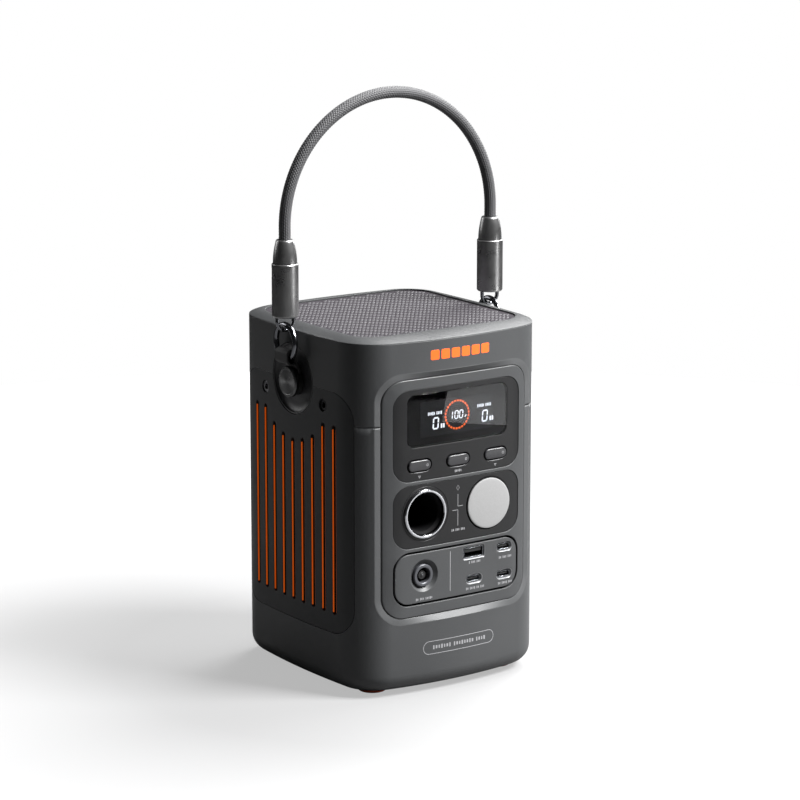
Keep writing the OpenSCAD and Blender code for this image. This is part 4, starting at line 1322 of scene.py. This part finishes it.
# the USB mouths take the light lip colour, a painted highlight
port_face = slab(sunk(0.1), port_rect, port_holes, 2.8, lip(0.35, 2.8), [dish] + [mouth] * 4, 3.0,
                 hole_paints=[0] + [1] * 4)
piece("port_face", port_face, ["case_plastic", "port_lip_painted_highlight"], ["port_panel"], smooth=40)
jack_place = facing_front(jack_x, jack_z)
ring_y = jack_low[1]
jack_in, jack_out, collar_back = 4.3, 6.4, ring_y + 3.7
jack_profile = fillets([(jack_in, collar_back), (jack_in, ring_y + 0.35, 0.25), (4.75, ring_y, 0.3),
                        (6.0, ring_y, 0.3), (jack_out, ring_y + 0.45, 0.25), (jack_out, collar_back),
                        (jack_in, collar_back)])
piece("dc_jack_collar", lathe(jack_profile, jack_place, 96), "jack_metal", ["dc_jack_ring"], smooth=40)
well_r, well_top, well_floor, well_back = 4.4, ring_y + 0.7, ring_y + 10.5, ring_y + 12.6
well = fillets([(well_r, well_top), (well_r, well_floor, 0.4), (0.75, well_floor), (0.75, well_back),
                (7.0, well_back), (7.0, ring_y + 4.0), (4.42, ring_y + 4.0), (4.42, well_top),
                (well_r, well_top)])
piece("dc_jack_well", lathe(well, jack_place, 72), "black_plastic", ["dc_jack_body"],
      smooth=40)
pin_back = mm_box("dc_jack_pin")[1][1]
pin_face = ring_y + 1.6
insulator = fillets([(0, pin_face), (1.2, pin_face, 0.1), (1.35, pin_face + 0.15, 0.1),
                     (2.5, pin_face + 0.15, 0.25), (2.5, ring_y + 10.4), (0, ring_y + 10.4)])
piece("dc_jack_core", lathe(insulator, jack_place, 48), "black_plastic", smooth=40)
pin = fillets([(0, pin_face - 0.35), (0.65, pin_face - 0.35, 0.25), (0.7, pin_face + 1.0), (0.7, pin_back),
               (0, pin_back)])
piece("dc_jack_contact", lathe(pin, jack_place, 32), "jack_metal", ["dc_jack_pin"], smooth=40)


def face_y(x):
    return float(face(x, 0)[1])


def flat_front(y):
    """Placement on an upright plane that faces the front."""
    return lambda u, v, d: np.stack([u, np.full_like(np.asarray(u, float), y) + d, v], -1)


def shell_sleeve(outer, wall_t, y, deep):
    """Metal port shell: a rounded sleeve open at the front."""
    inner = Rect(outer.u, outer.v, outer.hu - wall_t, outer.hv - wall_t, outer.r - wall_t,
                 counts=outer.counts)
    return slab(flat_front(y), outer, [inner], deep, lip(0.12, deep), [lip(0.1, deep)], step=40)


usb_a = shell_sleeve(Rect(usb_a_x, usb_a_z, 6.6, 2.85, 0.6, 0.8), 0.32, usb_a_low[1], 12.0)
piece("usb_a_mouth", usb_a, "port_metal", ["usb_a_shell"], smooth=40)
usb_c = Part()
for x, z in usb_c_places:
    usb_c.join(shell_sleeve(Rect(x, z, 4.5, 1.65, 1.6, 0.6), 0.3, face_y(x) + 1.1, 7.6))
piece("usb_c_mouths", usb_c, "port_metal", ["usb_c_shells"], smooth=40)
tongue_low, tongue_high = mm_box("usb_a_tongue")
tongue_rect = Rect(usb_a_x, (tongue_low[2] + tongue_high[2]) / 2, 5.6, 0.9, 0.15, 1.0)
tongue = slab(flat_front(tongue_low[1]), tongue_rect, thick=12.0, edge=lip(0.12, 12.0), step=4.0)
piece("usb_a_blade", tongue, "black_plastic", ["usb_a_tongue"])
blades = Part()
for x, z in usb_c_places:
    blades.join(slab(flat_front(face_y(x) + 1.8), Rect(x, z, 3.3, 0.35, 0.3, 0.6), thick=6.5,
                     edge=lip(0.1, 6.5), step=4.0))
piece("usb_c_blades", blades, "black_plastic", ["usb_c_tongues"])
backs = Part()
for x, z, hu, hv in ((usb_a_x, usb_a_z, 6.9, 3.1), *[(x, z, 5.0, 2.1) for x, z in usb_c_places]):
    backs.join(slab(flat_front(face_y(x) + 8.4), Rect(x, z, hu, hv, 0.6, 2.0), thick=0.5,
                    edge=lip(0.1, 0.5), step=4.0))
piece("port_backs", backs, "black_plastic")

# ---- printed marks and painted highlights under the buttons: plain generic shapes, no lettering ----
on_ports, on_socket, on_display = sunk(0.1), sunk(0.3), sunk(0.3)
marks = Part()
marks.join(ribbon(on_ports, straight((-5.2, 56.2), (-5.2, 79.1), 4.0), 0.35))
label_rows = ((jack_x, 54.6, (2, 3, 5)), (usb_a_x + 0.4, 70.6, (1, 3, 3)), (33.2, 70.0, (2, 3, 3)),
              (12.0, 55.5, (2, 4, 2, 3)), (33.2, 55.0, (2, 4, 3)))
for x, z, words in label_rows:
    label(marks, on_ports, x, z, words)
for start, end in (((0, 111.2), (0, 104.3)), ((0, 104.3), (3.4, 104.3)),
                   ((-3.7, 102.2), (0, 102.2)), ((0, 102.2), (0, 93.1))):
    marks.join(ribbon(on_socket, straight(start, end), 0.28))
marks.join(ribbon(on_socket, [(0, 116.2), (1.0, 114.9), (0, 113.4), (-1.0, 114.9)], 0.24, closed=True))
label(marks, on_socket, 0.2, 90.9, (2, 3, 3))
for word, x in button_xs.items():
    if word == "power":
        label(marks, on_display, x, 124.7, (5,))
    else:
        marks.join(ribbon(on_display, [(x, 123.9), (x + 0.7, 125.0), (x - 0.7, 125.0)], 0.5, closed=True))
    # painted highlight: a pale line under each button where the inset's lower lip catches the light
    lip_highlight = [(x + a, button_z - 4.75 + button_trim + 0.3 * (a / 4) ** 2)
                for a in np.linspace(-3.6, 4.6, 9)]
    marks.join(ribbon(on_display, lip_highlight, 0.22))
piece("panel_marks", marks, "pale_ink", normals=False)


badge = Part()
outline = Rect(0, 25.95, 24.0, 3.65, 3.6, 1.0).loop()
badge.join(ribbon(case_face, outline, 0.36, closed=True))
label(badge, case_face, 0, 25.95, (7, 8, 4), 2.3, 1.78)
piece("badge_outline", badge, "pale_ink", normals=False)
emblem = Part()
for k in range(6):
    emblem.join(decal(case_face, Rect(-16.9 + 6.76 * k, 192.4, 2.75, 2.75, 0.9, 0.6)))
piece("front_emblem", emblem, "orange_ink", normals=False)

# ---- handle: straps, rings, shackles, sleeves, ferrules, cable ----
sleeve_low, sleeve_high = mm_box("right_sleeve")
handle_x = (sleeve_low[0] + sleeve_high[0]) / 2
sleeve_r = sleeve_high[1]
wire_low, wire_high = mm_box("right_ring")
ring_z = (wire_low[2] + wire_high[2]) / 2
ring_wire = (wire_high[0] - wire_low[0]) / 2
ring_r = (wire_high[2] - wire_low[2]) / 2 - ring_wire
shackle_low, shackle_high = mm_box("right_shackle")
shackle_wire = (shackle_high[1] - shackle_low[1]) / 2
shackle_hw = (shackle_high[0] - shackle_low[0]) / 2 - shackle_wire
ferrule_high = mm_box("right_ferrule")[1]
cable_r = 3.4
arch_z = mm_box("handle_cable")[1][2] - handle_x - cable_r
pin_z = 232.0
socket_floor = 224.0  # bottom of the sleeve's socket for the ferrule


def strap(side):
    part = Part()
    inner, outer = 63.1, 66.1
    disc = Rect(0, lug_z, 8.0, 8.0, 8.0, 0.8)
    part.join(slab(lambda u, v, d: np.stack([side * (outer - d + 0 * u), u, v], -1), disc,
                   thick=outer - inner,
                   edge=lip(0.35, outer - inner, 0.35), step=3.0))
    loop_low, loop_high, reach = 181.7, 190.9, 2.65
    path = [(inner + 1.5, lug_z - 2), (inner + 1.5, lug_z + 3.5, 6), (inner + 1.5, 179.6, 5),
            (handle_x - reach, loop_low + 2.6, 3.0), (handle_x - reach, loop_high - 1.4, 2.0),
            (handle_x, loop_high - 0.65, 2.0), (handle_x + reach, loop_high - 1.4, 2.0),
            (handle_x + reach, loop_low + 2.2, 2.2), (handle_x + 0.3, loop_low + 0.65, 1.6),
            (handle_x - 2.2, loop_low + 0.9, 1.0), (inner + 2.1, 179.4, 3), (inner + 1.9, lug_z + 3.0, 3),
            (inner + 1.9, lug_z - 2)]
    line = fillets(path, 7)
    line = line[np.r_[True, np.linalg.norm(np.diff(line, axis=0), axis=1) > 0.05]]
    ahead = np.gradient(line, axis=0)
    ahead /= np.linalg.norm(ahead, axis=1)[:, None]
    normal = np.stack([-ahead[:, 1], ahead[:, 0]], 1)
    t, w = 0.65, 6.3  # half the thickness and half the width of the band
    corner = ((t, w - 0.3), (t - 0.12, w - 0.08), (t - 0.3, w))
    section = [(-a, b) for a, b in corner] + [(a, b) for a, b in corner[::-1]]
    section = [(-t, -w + 0.3)] + section + [(a, -b) for a, b in corner] + [(-a, -b) for a, b in corner[:0:-1]]
    rings = [np.array([(side * (p[0] + q[0] * a), b, p[1] + q[1] * a) for a, b in section])
             for p, q in zip(line, normal)]
    return part.strips(rings).cap(rings[0]).cap(rings[-1])


def torus(side):
    a = np.arange(96) * TAU / 96
    path = np.stack([np.full(96, side * handle_x), ring_r * np.cos(a), ring_z + ring_r * np.sin(a)], -1)
    return tube(path, ring_wire, 28, closed=True)


def shackle(side):
    low = shackle_low[2] + shackle_wire
    top = sleeve_low[2] + 3.0
    a = np.linspace(-math.pi, 0, 33)
    bend = np.stack([shackle_hw * np.cos(a), low + shackle_hw + shackle_hw * np.sin(a)], -1)
    path = np.vstack([[(-shackle_hw, top)], bend, [(shackle_hw, top)]])
    return tube(np.stack([side * handle_x + path[:, 0], 0 * path[:, 0], path[:, 1]], -1), shackle_wire, 20)


def cut(obj, cutters):
    """Cuts solids out of a piece and keeps the result as its mesh."""
    for part in cutters:
        mesh = bpy.data.meshes.new("cutter")
        bm = bmesh.new()
        verts = [bm.verts.new(p * MM) for p in np.concatenate(part.points)]
        for f in part.faces:
            bm.faces.new([verts[i] for i in f])
        bmesh.ops.remove_doubles(bm, verts=bm.verts, dist=1e-7)
        bmesh.ops.recalc_face_normals(bm, faces=bm.faces)
        bm.to_mesh(mesh)
        bm.free()
        tool = bpy.data.objects.new("cutter", mesh)
        bpy.context.scene.collection.objects.link(tool)
        modifier = obj.modifiers.new("cut", "BOOLEAN")
        modifier.operation, modifier.solver, modifier.object = "DIFFERENCE", "EXACT", tool
        bpy.context.view_layer.update()
        made = bpy.data.meshes.new_from_object(obj.evaluated_get(bpy.context.evaluated_depsgraph_get()))
        obj.modifiers.remove(modifier)
        obj.data = made
        bpy.data.objects.remove(tool)
    made.shade_smooth()
    made.set_sharp_from_angle(angle=math.radians(32))
    obj.modifiers.new("normals", "WEIGHTED_NORMAL").keep_sharp = True


def block(low, high):
    (x0, y0, z0), (x1, y1, z1) = low, high
    under, over = [np.array([(x0, y0, z), (x1, y0, z), (x1, y1, z), (x0, y1, z)]) for z in (z0, z1)]
    return Part().strips([under, over]).cap(under, flip=True).cap(over)


def sleeve(side):
    low, high = sleeve_low[2], sleeve_high[2]
    profile = fillets([(0, low + 0.5), (4.4, low + 0.5, 0.2), (5.0, low, 0.3), (sleeve_r - 0.6, low, 0.5),
                       (sleeve_r, low + 0.8, 0.5), (sleeve_r, low + 1.6), (sleeve_r, high - 1.2),
                       (sleeve_r, high - 0.45, 0.3), (sleeve_r - 0.35, high, 0.2), (5.7, high, 0.1),
                       (5.6, socket_floor), (0, socket_floor)])
    return lathe(profile, upright(side * handle_x), 96)


def ferrule(side):
    joint, top = sleeve_high[2] + 0.05, ferrule_high[2]
    profile = [(0, 226), (5.45, 226), (5.5, joint), (6.55, joint), (6.72, joint + 0.12)]
    for i in range(13):
        t = quarter * i / 12
        profile.append((5.0 + 1.72 * math.cos(t) ** 0.9 if i < 12 else 5.0,
                        joint + 0.5 + (top - joint - 1.0) * (i / 12)))
    profile += [(4.85, top - 0.25), (4.6, top), (3.5, top), (3.45, top - 3), (0, top - 3)]
    return lathe(profile, upright(side * handle_x), 96)


def bayonet_pin(side):
    part = Part()
    for hand in (-1, 1):
        profile = fillets([(0, 4.0), (1.2, 4.0), (1.2, sleeve_r + 0.28, 0.3), (0, sleeve_r + 0.28)])
        part.join(lathe(profile, lambda a, b, h,
                        s=hand: np.stack([side * handle_x + s * h, a, pin_z + b], -1), 32))
    return part


for side, word in ((-1, "left"), (1, "right")):
    link = f"{word}_link"
    piece(f"{word}_strap_band", strap(side), "strap_rubber", [f"{word}_strap"], body=link, smooth=45)
    piece(f"{word}_ring_wire", torus(side), "dark_chrome", [f"{word}_ring"], body=link, smooth=60)
    piece(f"{word}_shackle_wire", shackle(side), "dark_chrome", [f"{word}_shackle"], body="handle", smooth=60)
    tube_part = piece(f"{word}_sleeve_body", sleeve(side), "gunmetal", [f"{word}_sleeve"], body="handle",
                      smooth=32, normals=False)
    near_x, far_x = side * handle_x - 10, side * handle_x + 10
    cut(tube_part, [block((near_x, -1.32, pin_z - 1.3), (far_x, 3.6, pin_z + 1.3)),
                    block((near_x, 2.2, pin_z - 1.25), (far_x, 4.8, pin_z + 4.2))])
    piece(f"{word}_ferrule_nose", ferrule(side), "gunmetal", [f"{word}_ferrule"], body="handle", smooth=32)
    piece(f"{word}_bayonet_pins", bayonet_pin(side), "screw_steel", ["bayonet_pins"], body="handle")


def braided_cable():
    """Cable with a woven skin: columns of small knuckles, each column half a knuckle off its neighbours."""
    columns, per_column, pitch, per_pitch, rise = 18, 6, 1.6, 6, 0.5
    leg = arch_z - (ferrule_high[2] - 0.4)
    bend = math.pi * handle_x
    total = bend + 2 * leg
    m = int(round(total / pitch * per_pitch))
    n = columns * per_column
    length = np.linspace(0, total, m + 1)
    turn = np.arange(n) * TAU / n
    swing = np.clip((length - leg) / handle_x, 0, math.pi)
    below = np.maximum(leg - length, 0) + np.maximum(length - leg - bend, 0)
    centre = np.stack([-handle_x * np.cos(swing), 0 * swing, arch_z + handle_x * np.sin(swing) - below], -1)
    out = np.stack([-np.cos(swing), 0 * swing, np.sin(swing)], -1)
    column = np.arange(n) // per_column
    across = ((np.arange(n) % per_column) + 0.5) / per_column * 2 - 1
    along_it = ((length[:, None] / pitch + 0.5 * (column[None] % 2)) % 1.0) * 2 - 1
    bump = np.sqrt((1 - 0.9 * across[None] ** 2) * (1 - 0.95 * along_it ** 2))
    r = cable_r - rise + rise * bump
    ray = (np.cos(turn)[None, :, None] * out[:, None]
           + np.sin(turn)[None, :, None] * np.array([0, 1.0, 0]))
    points = centre[:, None] + r[..., None] * ray
    i, j = np.meshgrid(np.arange(m), np.arange(n), indexing="ij")
    j2 = (j + 1) % n
    quads = np.stack([i * n + j, (i + 1) * n + j, (i + 1) * n + j2, i * n + j2], -1).reshape(-1, 4)
    ends = [list(range(n)), list(range(m * n, (m + 1) * n))]
    return Part().add(points, quads.tolist() + ends)


piece("handle_braid", braided_cable(), "braid_cord", ["handle_cable"], body="handle",
      smooth=180, normals=False)

# ---- CAD nodes that stay as they are ----
KEPT = {
    "base_screws": "screw_steel", "button_switches": "switch_metal", "display_board": "circuit_board",
    "lamp_board": "circuit_board", "port_board": "circuit_board", "main_board": "circuit_board",
    "bms_board": "circuit_board", "heat_sink": "heat_sink", "power_parts": "power_parts",
    "battery_cells": "cell_can", "cell_holders": "black_plastic", "bus_straps": "strap_nickel",
}
for name, material in KEPT.items():
    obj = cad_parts[name]
    obj.data.materials.clear()
    obj.data.materials.append(look[material])

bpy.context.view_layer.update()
